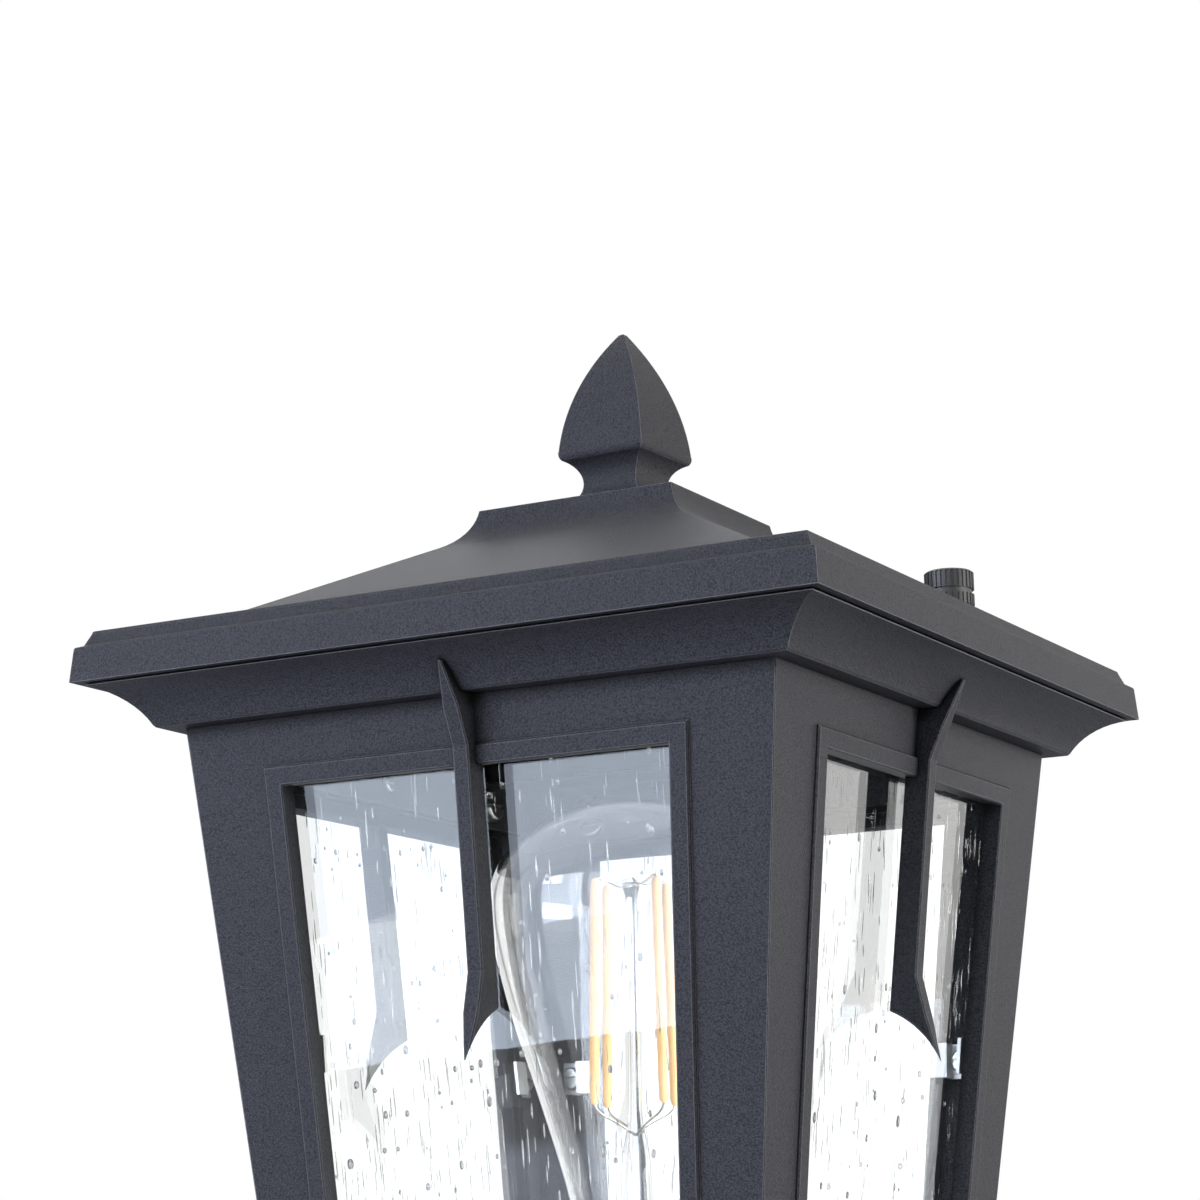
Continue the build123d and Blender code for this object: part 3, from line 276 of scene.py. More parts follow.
def mount(piece: Piece, body: str, slot: str, *nodes: str) -> None:
    """Let a piece ride on a body and stand for the nodes that it replaces.

    Args:
        piece: the finished piece.
        body: the body that it moves with.
        slot: the material slot that it belongs to; not used.
        *nodes: nodes of the frame that it stands for.
    """
    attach(piece, body)
    if nodes:
        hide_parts(*nodes)
    LOG.info("%s rides on %s, %d faces", piece.name, body, len(piece.data.polygons))


# ------------------------------------------------------------------ finishes
class Nodes:
    """A node tree that is being wired."""

    def __init__(self, tree: Tree) -> None:
        """Start on a tree.

        Args:
            tree: the tree of a material, a world or a group.
        """
        self.tree = tree

    def add(self, kind: str, **settings: object) -> Node:
        """Add a node.

        Args:
            kind: the node's type.
            **settings: attributes to set on it.

        Returns:
            The node.
        """
        node = self.tree.nodes.new(kind)
        for key, value in settings.items():
            setattr(node, key, value)
        return node

    def join(self, out: Socket, into: Socket) -> None:
        """Wire one socket to another."""
        self.tree.links.new(out, into)

    def maths(self, operation: str, a: object, b: object = 0.0, clamp: bool = False) -> Socket:
        """Work out one value from one or two others.

        Args:
            operation: the Math node's operation.
            a: a number or a socket.
            b: a number or a socket.
            clamp: keep the result from 0 to 1.

        Returns:
            The result's socket.
        """
        node = self.add("ShaderNodeMath", operation=operation, use_clamp=clamp)
        for socket, value in zip(node.inputs, (a, b)):
            if isinstance(value, Socket):
                self.join(value, socket)
            else:
                socket.default_value = value
        return node.outputs[0]

    def mask(self, high: object, low: object, gain: float) -> Socket:
        """Turn the difference of two values into a mask.

        Args:
            high: a number or a socket.
            low: what is taken off it, a number or a socket.
            gain: how steeply the mask rises with the difference.

        Returns:
            The socket of the mask, 0 to 1.
        """
        return self.maths("MULTIPLY", self.maths("SUBTRACT", high, low), gain, clamp=True)

    def swayed(self, value: float, mask: Socket, sway: float) -> Socket:
        """Let a value sway round its middle with a mask.

        Args:
            value: the middle value.
            mask: the mask's socket.
            sway: the whole range of the value.

        Returns:
            The value's socket.
        """
        return self.maths("ADD", value - sway / 2, self.maths("MULTIPLY", mask, sway))

    def ramp(self, factor: Socket, span: Pair, low: Colour, high: Colour) -> Socket:
        """Colour a value.

        Args:
            factor: the value's socket.
            span: the values where the colour starts and stops to change.
            low: the colour below the span.
            high: the colour above the span.

        Returns:
            The colour's socket.
        """
        node = self.add("ShaderNodeValToRGB")
        for point, position, colour in zip(node.color_ramp.elements, span, (low, high)):
            point.position = position
            point.color = (*colour, 1.0)
        self.join(factor, node.inputs["Fac"])
        return node.outputs["Color"]

    def blend(self, factor: Socket, paint: Socket, colour: Colour) -> Socket:
        """Lay a plain colour over another where a mask says so.

        Args:
            factor: the mask's socket.
            paint: the colour below, a socket.
            colour: the colour on top.

        Returns:
            The colour's socket.
        """
        node = self.add("ShaderNodeMix", data_type="RGBA")
        self.join(factor, node.inputs["Factor"])
        self.join(paint, node.inputs["A"])
        node.inputs["B"].default_value = (*colour, 1.0)
        return node.outputs["Result"]

    def bump(self, height: Socket, strength: float, depth_mm: float, normal: Socket | None = None) -> Socket:
        """Raise a fine relief.

        Args:
            height: the relief's socket.
            strength: how much of it shows.
            depth_mm: its depth.
            normal: the normal below it, if not the surface's own.

        Returns:
            The normal's socket.
        """
        node = self.add("ShaderNodeBump")
        node.inputs["Strength"].default_value = strength
        node.inputs["Distance"].default_value = depth_mm * MM
        self.join(height, node.inputs["Height"])
        if normal is not None:
            self.join(normal, node.inputs["Normal"])
        return node.outputs["Normal"]

    def noise(self, place: Socket, scale: Socket, detail: float, rough: float) -> Socket:
        """Make a noise in space.

        Args:
            place: the coordinates' socket.
            scale: the socket of its scale.
            detail: its octaves.
            rough: how strong the finer octaves are.

        Returns:
            The socket of its value, 0 to 1.
        """
        node = self.add("ShaderNodeTexNoise", noise_dimensions="3D")
        self.join(place, node.inputs["Vector"])
        self.join(scale, node.inputs["Scale"])
        node.inputs["Detail"].default_value = detail
        node.inputs["Roughness"].default_value = rough
        return node.outputs["Fac"]

    def either(self, factor: Socket, first: Socket, second: Socket) -> Socket:
        """Mix two shaders.

        Args:
            factor: the share of the second, a socket.
            first: a shader's socket.
            second: a shader's socket.

        Returns:
            The shader's socket.
        """
        node = self.add("ShaderNodeMixShader")
        self.join(factor, node.inputs["Fac"])
        self.join(first, node.inputs[1])
        self.join(second, node.inputs[2])
        return node.outputs["Shader"]


def node_group(name: str, size: str, value: float, outputs: Iterable[str]) -> tuple[Nodes, Node, Node]:
    """Start a node group that follows a Place and has one number of its own.

    Args:
        name: the group's name.
        size: the number's name.
        value: its first value.
        outputs: names of the number outputs.

    Returns:
        The group's wiring, its input node and its output node.
    """
    tree = bpy.data.node_groups.new(name, "ShaderNodeTree")
    tree.interface.new_socket("Place", in_out="INPUT", socket_type="NodeSocketVector")
    socket = tree.interface.new_socket(size, in_out="INPUT", socket_type="NodeSocketFloat")
    socket.default_value = value
    for label in outputs:
        tree.interface.new_socket(label, in_out="OUTPUT", socket_type="NodeSocketFloat")
    nodes = Nodes(tree)
    return nodes, nodes.add("NodeGroupInput"), nodes.add("NodeGroupOutput")


@dataclass(frozen=True)
class SandGrain:
    """Fine pebbled relief of a baked sand-texture coat."""

    grain: float = 2600.0
    detail: float = 2.0
    rough: float = 0.55
    pebble_scale: float = 0.55
    pebble_smooth: float = 0.6
    noise_share: float = 0.6
    pebble_share: float = 0.4
    fleck_floor: float = 0.4
    fleck_gain: float = 2.6

    def group(self) -> Tree:
        """Wire the effect.

        Returns:
            A group that gives Height, 0 to 1, and Fleck, a mask of the grains that catch light.
        """
        nodes, given, result = node_group("sand_grain", "Grain", self.grain, ("Height", "Fleck"))
        place, grain = given.outputs["Place"], given.outputs["Grain"]
        fine = nodes.noise(place, grain, self.detail, self.rough)
        pebbles = nodes.add("ShaderNodeTexVoronoi", feature="SMOOTH_F1")
        nodes.join(place, pebbles.inputs["Vector"])
        nodes.join(nodes.maths("MULTIPLY", grain, self.pebble_scale), pebbles.inputs["Scale"])
        pebbles.inputs["Smoothness"].default_value = self.pebble_smooth
        mound = nodes.maths("SUBTRACT", 1.0, pebbles.outputs["Distance"], clamp=True)
        height = nodes.maths("ADD", nodes.maths("MULTIPLY", fine, self.noise_share),
                             nodes.maths("MULTIPLY", mound, self.pebble_share))
        nodes.join(height, result.inputs["Height"])
        nodes.join(nodes.mask(height, self.fleck_floor, self.fleck_gain), result.inputs["Fleck"])
        return nodes.tree


@dataclass(frozen=True)
class Handling:
    """Slow, soft unevenness of a coat or a surface that has been handled."""

    size: float = 14.0
    detail: float = 4.0
    rough: float = 0.6

    def group(self) -> Tree:
        """Wire the effect.

        Returns:
            A group that gives Cloud, 0 to 1.
        """
        nodes, given, result = node_group("handling", "Size", self.size, ("Cloud",))
        cloud = nodes.noise(given.outputs["Place"], given.outputs["Size"], self.detail, self.rough)
        nodes.join(cloud, result.inputs["Cloud"])
        return nodes.tree


@dataclass(frozen=True)
class Brushing:
    """Fine turning or drawing lines."""

    lines: float = 4000.0
    stretch: Place = (0.04, 0.04, 1.0)
    detail: float = 2.0
    rough: float = 0.5

    def group(self) -> Tree:
        """Wire the effect.

        Returns:
            A group that gives Line, 0 to 1; the lines lie square to Z.
        """
        nodes, given, result = node_group("brushing", "Lines", self.lines, ("Line",))
        stretch = nodes.add("ShaderNodeVectorMath", operation="MULTIPLY")
        nodes.join(given.outputs["Place"], stretch.inputs[0])
        stretch.inputs[1].default_value = self.stretch
        nodes.join(nodes.noise(stretch.outputs[0], given.outputs["Lines"], self.detail, self.rough),
                   result.inputs["Line"])
        return nodes.tree


class Effects:
    """The effects that the finishes share."""

    def __init__(self) -> None:
        """Make each effect's group."""
        self.grain = SandGrain().group()
        self.cloud = Handling().group()
        self.brush = Brushing().group()


@dataclass(frozen=True)
class Finish:
    """A material: each kind of finish wires its own nodes."""

    name: str

    def begin(self) -> tuple[Nodes, Node, Socket]:
        """Start the material.

        Returns:
            Its wiring, its Principled shader and the socket of the object's coordinates.
        """
        material = bpy.data.materials.new(self.name)
        material.use_nodes = True
        nodes = Nodes(material.node_tree)
        shader = material.node_tree.nodes["Principled BSDF"]
        place = nodes.add("ShaderNodeTexCoord").outputs["Object"]
        return nodes, shader, place

    def effect(self, nodes: Nodes, tree: Tree, place: Socket, **values: float) -> Node:
        """Place a shared effect in this material with its own values.

        Args:
            nodes: the material's wiring.
            tree: the effect's node group.
            place: the coordinates that it follows.
            **values: the effect's own values by name.

        Returns:
            The group node.
        """
        node = nodes.add("ShaderNodeGroup", node_tree=tree)
        nodes.join(place, node.inputs["Place"])
        for label, value in values.items():
            node.inputs[label].default_value = value
        return node


@dataclass(frozen=True)
class SandPaint(Finish):
    """Baked sand-texture paint on castings, with a painted highlight along their outer arrises and painted
    shade in their sheltered corners.
    """

    # dark to light: the lighter colour on the flecked grains is painted glint, the cloud's share is random
    # tone
    dark: Colour
    light: Colour
    # colour of the painted highlight laid along outer arrises
    arris: Colour
    # near-black colour of the painted shade in sheltered corners and recesses
    corner_shade_colour: Colour = (0.003, 0.003, 0.003)
    rough: float = 0.43
    rough_sway: float = 0.14
    gloss: float = 0.11
    relief: float = 0.9
    relief_mm: float = 0.27
    grain: float = 4800.0
    cloud: float = 11.0
    glint_fleck_share: float = 0.8
    cloud_share: float = 0.2
    tones: Pair = (0.08, 0.9)
    arris_mm: float = 0.3
    arris_gain: float = 4.0
    arris_samples: int = 6
    shelter_mm: float = 4.0
    shelter_samples: int = 4
    highlight_open_level: float = 0.72
    highlight_open_gain: float = 8.0
    corner_shade_level: float = 0.82
    corner_shade_gain: float = 3.0

    def make(self, effects: Effects) -> Material:
        """Wire the paint.

        Args:
            effects: the shared effects.

        Returns:
            The material.
        """
        nodes, shader, place = self.begin()
        shader.inputs["Specular IOR Level"].default_value = self.gloss
        grain = self.effect(nodes, effects.grain, place, Grain=self.grain)
        cloud = self.effect(nodes, effects.cloud, place, Size=self.cloud).outputs["Cloud"]
        # partly painted glint: grains that catch light are coloured lighter; the cloud adds random tone
        tone = nodes.maths("ADD", nodes.maths("MULTIPLY", grain.outputs["Fleck"], self.glint_fleck_share),
                           nodes.maths("MULTIPLY", cloud, self.cloud_share))
        paint = nodes.ramp(tone, self.tones, self.dark, self.light)
        nodes.join(nodes.swayed(self.rough, cloud, self.rough_sway), shader.inputs["Roughness"])
        eased = nodes.add("ShaderNodeBevel", samples=self.arris_samples)
        eased.inputs["Radius"].default_value = self.arris_mm * MM
        nodes.join(self.edge_light_and_shade(nodes, paint, eased.outputs["Normal"]), shader.inputs["Base Color"])
        nodes.join(nodes.bump(grain.outputs["Height"], self.relief, self.relief_mm, eased.outputs["Normal"]),
                   shader.inputs["Normal"])
        return bpy.data.materials[self.name]

    def edge_light_and_shade(self, nodes: Nodes, paint: Socket, eased: Socket) -> Socket:
        """Paint a highlight where an outer arris turns, and paint shade into the sheltered corners.

        Args:
            nodes: the material's wiring.
            paint: the colour of the open faces.
            eased: the normal of the eased arrises.

        Returns:
            The colour's socket.
        """
        surface = nodes.add("ShaderNodeNewGeometry")
        facing = nodes.add("ShaderNodeVectorMath", operation="DOT_PRODUCT")
        nodes.join(surface.outputs["Normal"], facing.inputs[0])
        nodes.join(eased, facing.inputs[1])
        turning = nodes.mask(1.0, facing.outputs["Value"], self.arris_gain)
        shelter = nodes.add("ShaderNodeAmbientOcclusion", samples=self.shelter_samples)
        shelter.inputs["Distance"].default_value = self.shelter_mm * MM
        nodes.join(eased, shelter.inputs["Normal"])
        outer = nodes.mask(shelter.outputs["AO"], self.highlight_open_level, self.highlight_open_gain)
        # painted shade: where ambient occlusion is low, the paint turns near-black
        corner_shade_mask = nodes.mask(self.corner_shade_level, shelter.outputs["AO"], self.corner_shade_gain)
        corner_shaded = nodes.blend(corner_shade_mask, paint, self.corner_shade_colour)
        # painted highlight: where the eased normal turns at an open outer arris, the paint takes the pale
        # arris colour
        return nodes.blend(nodes.maths("MULTIPLY", turning, outer), corner_shaded, self.arris)


@dataclass(frozen=True)
class Metal(Finish):
    """Plated, drawn or turned metal."""

    colour: Colour
    worn: Colour
    rough: float = 0.3
    rough_sway: float = 0.12
    lines: float = 4000.0
    cloud: float = 120.0
    tones: Pair = (0.35, 0.65)
    relief: float = 0.35
    relief_mm: float = 0.02

    def make(self, effects: Effects) -> Material:
        """Wire the metal.

        Args:
            effects: the shared effects.

        Returns:
            The material.
        """
        nodes, shader, place = self.begin()
        shader.inputs["Metallic"].default_value = 1.0
        line = self.effect(nodes, effects.brush, place, Lines=self.lines).outputs["Line"]
        cloud = self.effect(nodes, effects.cloud, place, Size=self.cloud).outputs["Cloud"]
        nodes.join(nodes.ramp(cloud, self.tones, self.worn, self.colour), shader.inputs["Base Color"])
        nodes.join(nodes.swayed(self.rough, line, self.rough_sway), shader.inputs["Roughness"])
        nodes.join(nodes.bump(line, self.relief, self.relief_mm), shader.inputs["Normal"])
        return bpy.data.materials[self.name]


@dataclass(frozen=True)
class Moulding(Finish):
    """Moulded plastic, rubber or a baked coat of powder."""

    dark: Colour
    light: Colour
    rough: float = 0.5
    rough_sway: float = 0.1
    grain: float = 3500.0
    cloud: float = 90.0
    tones: Pair = (0.3, 0.7)
    relief: float = 0.5
    relief_mm: float = 0.02

    def make(self, effects: Effects) -> Material:
        """Wire the moulding.

        Args:
            effects: the shared effects.

        Returns:
            The material.
        """
        nodes, shader, place = self.begin()
        grain = self.effect(nodes, effects.grain, place, Grain=self.grain)
        cloud = self.effect(nodes, effects.cloud, place, Size=self.cloud).outputs["Cloud"]
        nodes.join(nodes.ramp(cloud, self.tones, self.dark, self.light), shader.inputs["Base Color"])
        nodes.join(nodes.swayed(self.rough, cloud, self.rough_sway), shader.inputs["Roughness"])
        nodes.join(nodes.bump(grain.outputs["Height"], self.relief, self.relief_mm), shader.inputs["Normal"])
        return bpy.data.materials[self.name]


@dataclass(frozen=True)
class Glass(Finish):
    """Clear glass, which lets the softboxes' light through to what is behind it."""

    colour: Colour = WHITE
    ior: float = 1.5
    wave: float = 60.0
    wave_strength: float = 0.5
    wave_mm: float = 0.01
    shadow: Colour = (0.94, 0.96, 0.96)
    edge: Colour = (0.62, 0.9, 0.8)
    density: float = 14.0

    def make(self, effects: Effects) -> Material:
        """Wire the glass.

        Args:
            effects: the shared effects, of which the cloud gives the slow waves of drawn glass.

        Returns:
            The material.
        """
        nodes, shader, place = self.begin()
        shader.inputs["Base Color"].default_value = (*self.colour, 1.0)
        shader.inputs["Roughness"].default_value = 0.0
        shader.inputs["IOR"].default_value = self.ior
        shader.inputs["Transmission Weight"].default_value = 1.0
        cloud = self.effect(nodes, effects.cloud, place, Size=self.wave).outputs["Cloud"]
        nodes.join(nodes.bump(cloud, self.wave_strength, self.wave_mm), shader.inputs["Normal"])
        through = nodes.add("ShaderNodeBsdfTransparent")
        through.inputs["Color"].default_value = (*self.shadow, 1.0)
        path = nodes.add("ShaderNodeLightPath")
        out = nodes.tree.nodes["Material Output"]
        glass = nodes.either(path.outputs["Is Shadow Ray"], shader.outputs["BSDF"], through.outputs["BSDF"])
        nodes.join(glass, out.inputs["Surface"])
        if self.density > 0:
            tint = nodes.add("ShaderNodeVolumeAbsorption")
            tint.inputs["Color"].default_value = (*self.edge, 1.0)
            tint.inputs["Density"].default_value = self.density
            nodes.join(tint.outputs["Volume"], out.inputs["Volume"])
        return bpy.data.materials[self.name]


FINISHES = {
    # a SandPaint's third colour is the painted highlight along outer arrises
    "black_paint": SandPaint("black_sand_paint", (0.0145, 0.0147, 0.0168), (0.065, 0.0665, 0.077),
                             (0.42, 0.42, 0.43)),
    "black_hardware": SandPaint("black_hardware", (0.011, 0.011, 0.012), (0.035, 0.035, 0.037),
                                (0.16, 0.16, 0.165), rough=0.38, gloss=0.4, relief_mm=0.02, grain=4200.0,
                                arris_mm=0.2),
    "seeded_glass": Glass("seeded_window_glass"),
    # painted shade: the hollows' walls are tinted grey so the bubble and streak rims read darker
    "seed_skin": Glass("seed_hollow_skin", (0.5, 0.51, 0.52), density=0.0),
    "clear_glass": Glass("clear_lamp_glass", ior=1.47, wave=90.0, wave_mm=0.004, density=0.0),
    "black_glass": Moulding("black_lamp_glass", (0.012, 0.012, 0.014), (0.02, 0.02, 0.022), rough=0.12),
    "zinc_steel": Metal("zinc_plated_steel", (0.66, 0.66, 0.64), (0.5, 0.5, 0.49)),
    "spring_steel": Metal("spring_steel", (0.5, 0.51, 0.52), (0.38, 0.38, 0.39), rough=0.35),
    "nickel_brass": Metal("nickel_plated_brass", (0.72, 0.69, 0.62), (0.6, 0.56, 0.48), rough=0.2),
    "solder": Metal("dull_solder", (0.55, 0.55, 0.55), (0.42, 0.42, 0.43), rough=0.45),
    "phenolic": Moulding("moulded_phenolic", (0.02, 0.02, 0.02), (0.034, 0.034, 0.034), rough=0.42),
    "seal_rubber": Moulding("seal_rubber", (0.022, 0.022, 0.022), (0.04, 0.04, 0.04), rough=0.75),
    "phosphor": Moulding("warm_phosphor", (0.95, 0.52, 0.2), (0.99, 0.6, 0.27), rough=0.6, relief_mm=0.05),
}


@dataclass
class FinishBook:
    """Every material of the lantern, by the name of its slot."""

    materials: dict[str, Material] = field(default_factory=dict)

    def fill(self) -> "FinishBook":
        """Make the shared effects and all the finishes.

        Returns:
            This book.
        """
        effects = Effects()
        for slot, finish in FINISHES.items():
            self.materials[slot] = finish.make(effects)
        return self

    def dress_nodes(self, frame: dict) -> None:
        """Give each node of the frame the material of its slot.
        """
        for subpart in frame["record"]["subparts"]:
            dress(frame["nodes"][subpart["node"]], self.materials[subpart["material_slot"]])


# ------------------------------------------------------------------ seeded windows
@dataclass
class SeededWindows:
    """Four window panes with eased edges and the bubbles and streaks of seeded glass."""

    thickness: float = 3.0 * MM
    arris: float = 0.3 * MM
    flat_deg: float = 1.0
    bubbles: int = 120
    streaks: int = 380
    bubble_radius: Pair = (0.3 * MM, 0.85 * MM)
    bubble_shrink: Pair = (0.55, 1.0)
    bubble_stretch: Pair = (1.0, 1.8)
    streak_radius: Pair = (0.08 * MM, 0.2 * MM)
    streak_length: Pair = (1.6 * MM, 8.0 * MM)
    bubble_faces: int = 12
    streak_faces: int = 8
    rings: int = 6
    top_draw: float = 1.12
    reach_along: float = 0.97
    reach_across: float = 0.96
    skin: float = 0.15 * MM
    rim: float = 0.9
    seed: int = 11

    def seed_form(self, name: str, faces: int) -> Piece:
        """Model one hollow, drawn out a little towards its top, as the glass was drawn.

        Args:
            name: the form's name.
            faces: faces round it.

        Returns:
            A closed form of radius 1 whose faces point into the hollow.
        """
        outline = [(0.0, -1.0)]
        for k in range(1, self.rings):
            angle = math.pi * k / self.rings
            level = -math.cos(angle)
            outline.append((math.sin(angle), level * (self.top_draw if level > 0 else 1.0)))
        outline.append((0.0, self.top_draw))
        form = turned(name, outline, faces)
        edit(form)
        bpy.ops.mesh.flip_normals()
        bpy.ops.object.mode_set(mode="OBJECT")
        return form

    def blank(self, node: Piece, name: str) -> Piece:
        """Cut a clear pane with eased arrises from the frame's own pane.

        Args:
            node: the frame's pane.
            name: the new pane's name.

        Returns:
            The new pane.
        """
        blank = moved_copy(node, name, Matrix.Identity(4))
        blank.parent = None
        edit(blank)
        bpy.ops.mesh.remove_doubles(threshold=MERGE_LIMIT)
        bpy.ops.mesh.dissolve_limited(angle_limit=math.radians(self.flat_deg))
        bpy.ops.mesh.select_all(action="SELECT")
        bpy.ops.mesh.bevel(offset=self.arris, segments=2, affect="EDGES")
        bpy.ops.object.mode_set(mode="OBJECT")
        return blank

    def hollow_size(self, is_bubble: bool, luck: random.Random) -> Pair:
        """Draw the size of one hollow.

        Args:
            is_bubble: a bubble, or else a streak.
            luck: the seeded source of sizes.

        Returns:
            Its radius and half its height.
        """
        if is_bubble:
            wide = luck.uniform(*self.bubble_radius) * luck.uniform(*self.bubble_shrink)
            return wide, wide * luck.uniform(*self.bubble_stretch)
        wide = luck.uniform(*self.streak_radius)
        return wide, luck.uniform(*self.streak_length) / 2

    def pane(self, node: Piece, book: FinishBook, side: str, forms: Sequence[Piece],
             luck: random.Random) -> Piece:
        """Make one side's pane.

        Args:
            node: the frame's pane.
            book: the finishes.
            side: the lantern's side.
            forms: the round and the drawn-out hollow.
            luck: the seeded source of places and sizes.

        Returns:
            The pane.
        """
        blank = self.blank(node, f"seeded_pane_{side}")
        dress(blank, book.materials["seeded_glass"])
        outer = max(blank.data.polygons, key=lambda polygon: polygon.area)
        normal, middle = outer.normal.copy(), outer.center.copy()
        if normal.dot(Vector((middle.x, middle.y, 0))) < 0:
            normal, middle = -normal, middle + normal * self.thickness
        across = Vector((0, 0, 1)).cross(normal).normalized()
        along = normal.cross(across).normalized()
        turn = Matrix((across, normal, along)).transposed().to_4x4()
        spread = [((v.co - middle).dot(across), (v.co - middle).dot(along)) for v in blank.data.vertices]
        high = max(v for _, v in spread)
        top_half = max(u for u, v in spread if v > self.rim * high)
        foot_half = max(u for u, v in spread if v < -self.rim * high)
        hollows = [blank]
        for k in range(self.bubbles + self.streaks):
            is_bubble = k < self.bubbles
            v = luck.uniform(-self.reach_along, self.reach_along) * high
            half = foot_half + (top_half - foot_half) * (v / high + 1) / 2
            u = luck.uniform(-self.reach_across, self.reach_across) * half
            wide, tall = self.hollow_size(is_bubble, luck)
            deep = luck.uniform(wide + self.skin, self.thickness - wide - self.skin)
            centre = middle + across * u + along * v - normal * deep
            place = Matrix.Translation(centre) @ turn @ Matrix.Diagonal((wide, wide, tall, 1.0))
            hollows.append(moved_copy(forms[0] if is_bubble else forms[1], "hollow", place))
        return joined(hollows, f"seeded_pane_{side}")

    def build(self, frame: dict, book: FinishBook) -> None:
        """Make the four panes.

        Args:
            book: the finishes.
        """
        forms = (self.seed_form("bubble_form", self.bubble_faces),
                 self.seed_form("streak_form", self.streak_faces))
        for form in forms:
            dress(form, book.materials["seed_skin"])
        for number, side in enumerate(SIDES):
            node = f"glass_pane_{side}"
            pane = self.pane(frame["nodes"][node], book, side, forms, random.Random(self.seed + number))
            mount(pane, "root", "seeded_glass", node)
        for form in forms:
            bpy.data.objects.remove(form)


# ------------------------------------------------------------------ lamp
@dataclass
class FilamentLamp:
    """Clear teardrop lamp with four long filament sticks and a medium screw base.

    The outlines in mm are (radius, height) points, each from the level that its comment names.
    """

    widest: float = 297.6 * MM
    radius: float = 32.3 * MM
    dome: float = 23.0 * MM
    dome_steps: int = 9
    tip: float = 180.6 * MM
    neck: float = 12.1 * MM
    neck_rise: float = 2.0 * MM
    base_height: float = 27.0 * MM
    seat: float = 0.6
    wall: float = 0.8 * MM
    bulb_faces: int = 72
    # shares of the taper: how far down it, and the width left
    taper: Outline = ((0.0, 1.0), (0.24, 0.815), (0.5, 0.46), (0.77, 0.12), (1.0, 0.0))
    taper_steps: int = 16
    # from the mount's foot in the neck
    flare_mm: Outline = ((0.0, 0.0), (10.6, 0.0), (10.8, 0.8), (8.4, 4.0), (5.6, 9.0), (4.2, 14.0))
    # from the pinch that holds the wires
    pinch_mm: Outline = ((3.4, -5.0), (2.9, -1.0), (1.7, 3.0), (1.25, 9.0))
    # from the hub at the filaments' tops
    hub_mm: Outline = ((1.2, -6.0), (1.4, -3.0), (2.2, -1.2), (2.0, 0.1), (1.0, 0.7), (0.0, 0.8))
    pinch_drop: float = 8.0 * MM
    mount_faces: int = 28
    sticks: int = 4
    stick_faces: int = 16
    stick_radius: float = 1.1 * MM
    stick_length: float = 50.0 * MM
    # shares of the stick's radius: the radius and how far it is from the stick's end
    stick_end: Outline = ((0.45, 0.0), (0.85, 0.5), (1.0, 1.4))
    stick_waist: float = 0.3
    top_ring: float = 9.7 * MM
    foot_ring: float = 11.0 * MM
    turn_deg: float = 63.4
    top_rise: float = 4.4 * MM
    wire_radius: float = 0.27 * MM
    wire_grip: float = 1.0 * MM
    wire_sways: Pair = (0.5 * MM, 0.9 * MM)
    wire_lean: float = 0.5
    # shares of the lean and of the sway at each bend
    wire_top_bends: Outline = ((0.6, -1.0), (1.3, -0.4))
    wire_low_bend: Pair = (0.7, 0.4)
    wire_kink: float = 1.1
    round_deg: float = 60.0
    wire_hub_drop: float = 0.7 * MM
    wire_pinch_drop: float = 6.0 * MM
    wire_foot_drop: float = 1.5 * MM
    thread_pitch: float = 3.6 * MM
    thread_depth: float = 0.5 * MM
    thread_steps: int = 8
    thread_rise: float = 6.4 * MM
    thread_deg: float = 50.0
    base_radius: float = 13.1 * MM
    base_faces: int = 48
    base_step: float = 0.05 * MM
    collar_bend: Pair = (0.3 * MM, 0.4 * MM)
    collar_lap: float = 0.06 * MM
    skirt_bend: Pair = (0.25 * MM, 0.3 * MM)
    skirt_hole: float = 9.6 * MM
    skirt_pitches: float = 1.2

    def width_at(self, share: float) -> float:
        """Width of the taper, 1 at the widest part and 0 at the neck.

        Args:
            share: how far down the taper, 0 to 1.

        Returns:
            The width's share.
        """
        knots = self.taper
        slopes = [0.0]
        for (x0, y0), _, (x1, y1) in zip(knots, knots[1:], knots[2:]):
            slopes.append((y1 - y0) / (x1 - x0))
        slopes.append(0.0)
        for k in range(len(knots) - 1):
            (x0, y0), (x1, y1) = knots[k], knots[k + 1]
            if share <= x1:
                step = x1 - x0
                t = (share - x0) / step
                return (y0 * (1 + 2 * t) * (1 - t) ** 2 + slopes[k] * step * t * (1 - t) ** 2
                        + y1 * t * t * (3 - 2 * t) + slopes[k + 1] * step * t * t * (t - 1))
        return 0.0

    def envelope(self) -> Piece:
        """Blow the bulb: dome, long taper and straight neck, with its wall.

        Returns:
            The bulb.
        """
        shoulder = self.tip + self.base_height + self.neck_rise
        foot = self.tip + self.base_height * self.seat
        drop = self.widest - shoulder
        angles = (math.pi / 2 * k / self.dome_steps for k in range(self.dome_steps + 1))
        outline = [(self.radius * math.sin(a), self.widest + self.dome * math.cos(a)) for a in angles]
        outline[0] = (0.0, outline[0][1])
        for k in range(1, self.taper_steps + 1):
            share = k / self.taper_steps
            width = self.neck + (self.radius - self.neck) * self.width_at(share)
            outline.append((width, self.widest - drop * share))
        outline.append((self.neck, (shoulder + foot) / 2))
        outline.append((self.neck, foot))
        bulb = turned("lamp_envelope", outline, self.bulb_faces)
        return blown(with_modifier(bulb, "SOLIDIFY", thickness=self.wall, offset=-1.0, use_even_offset=True))

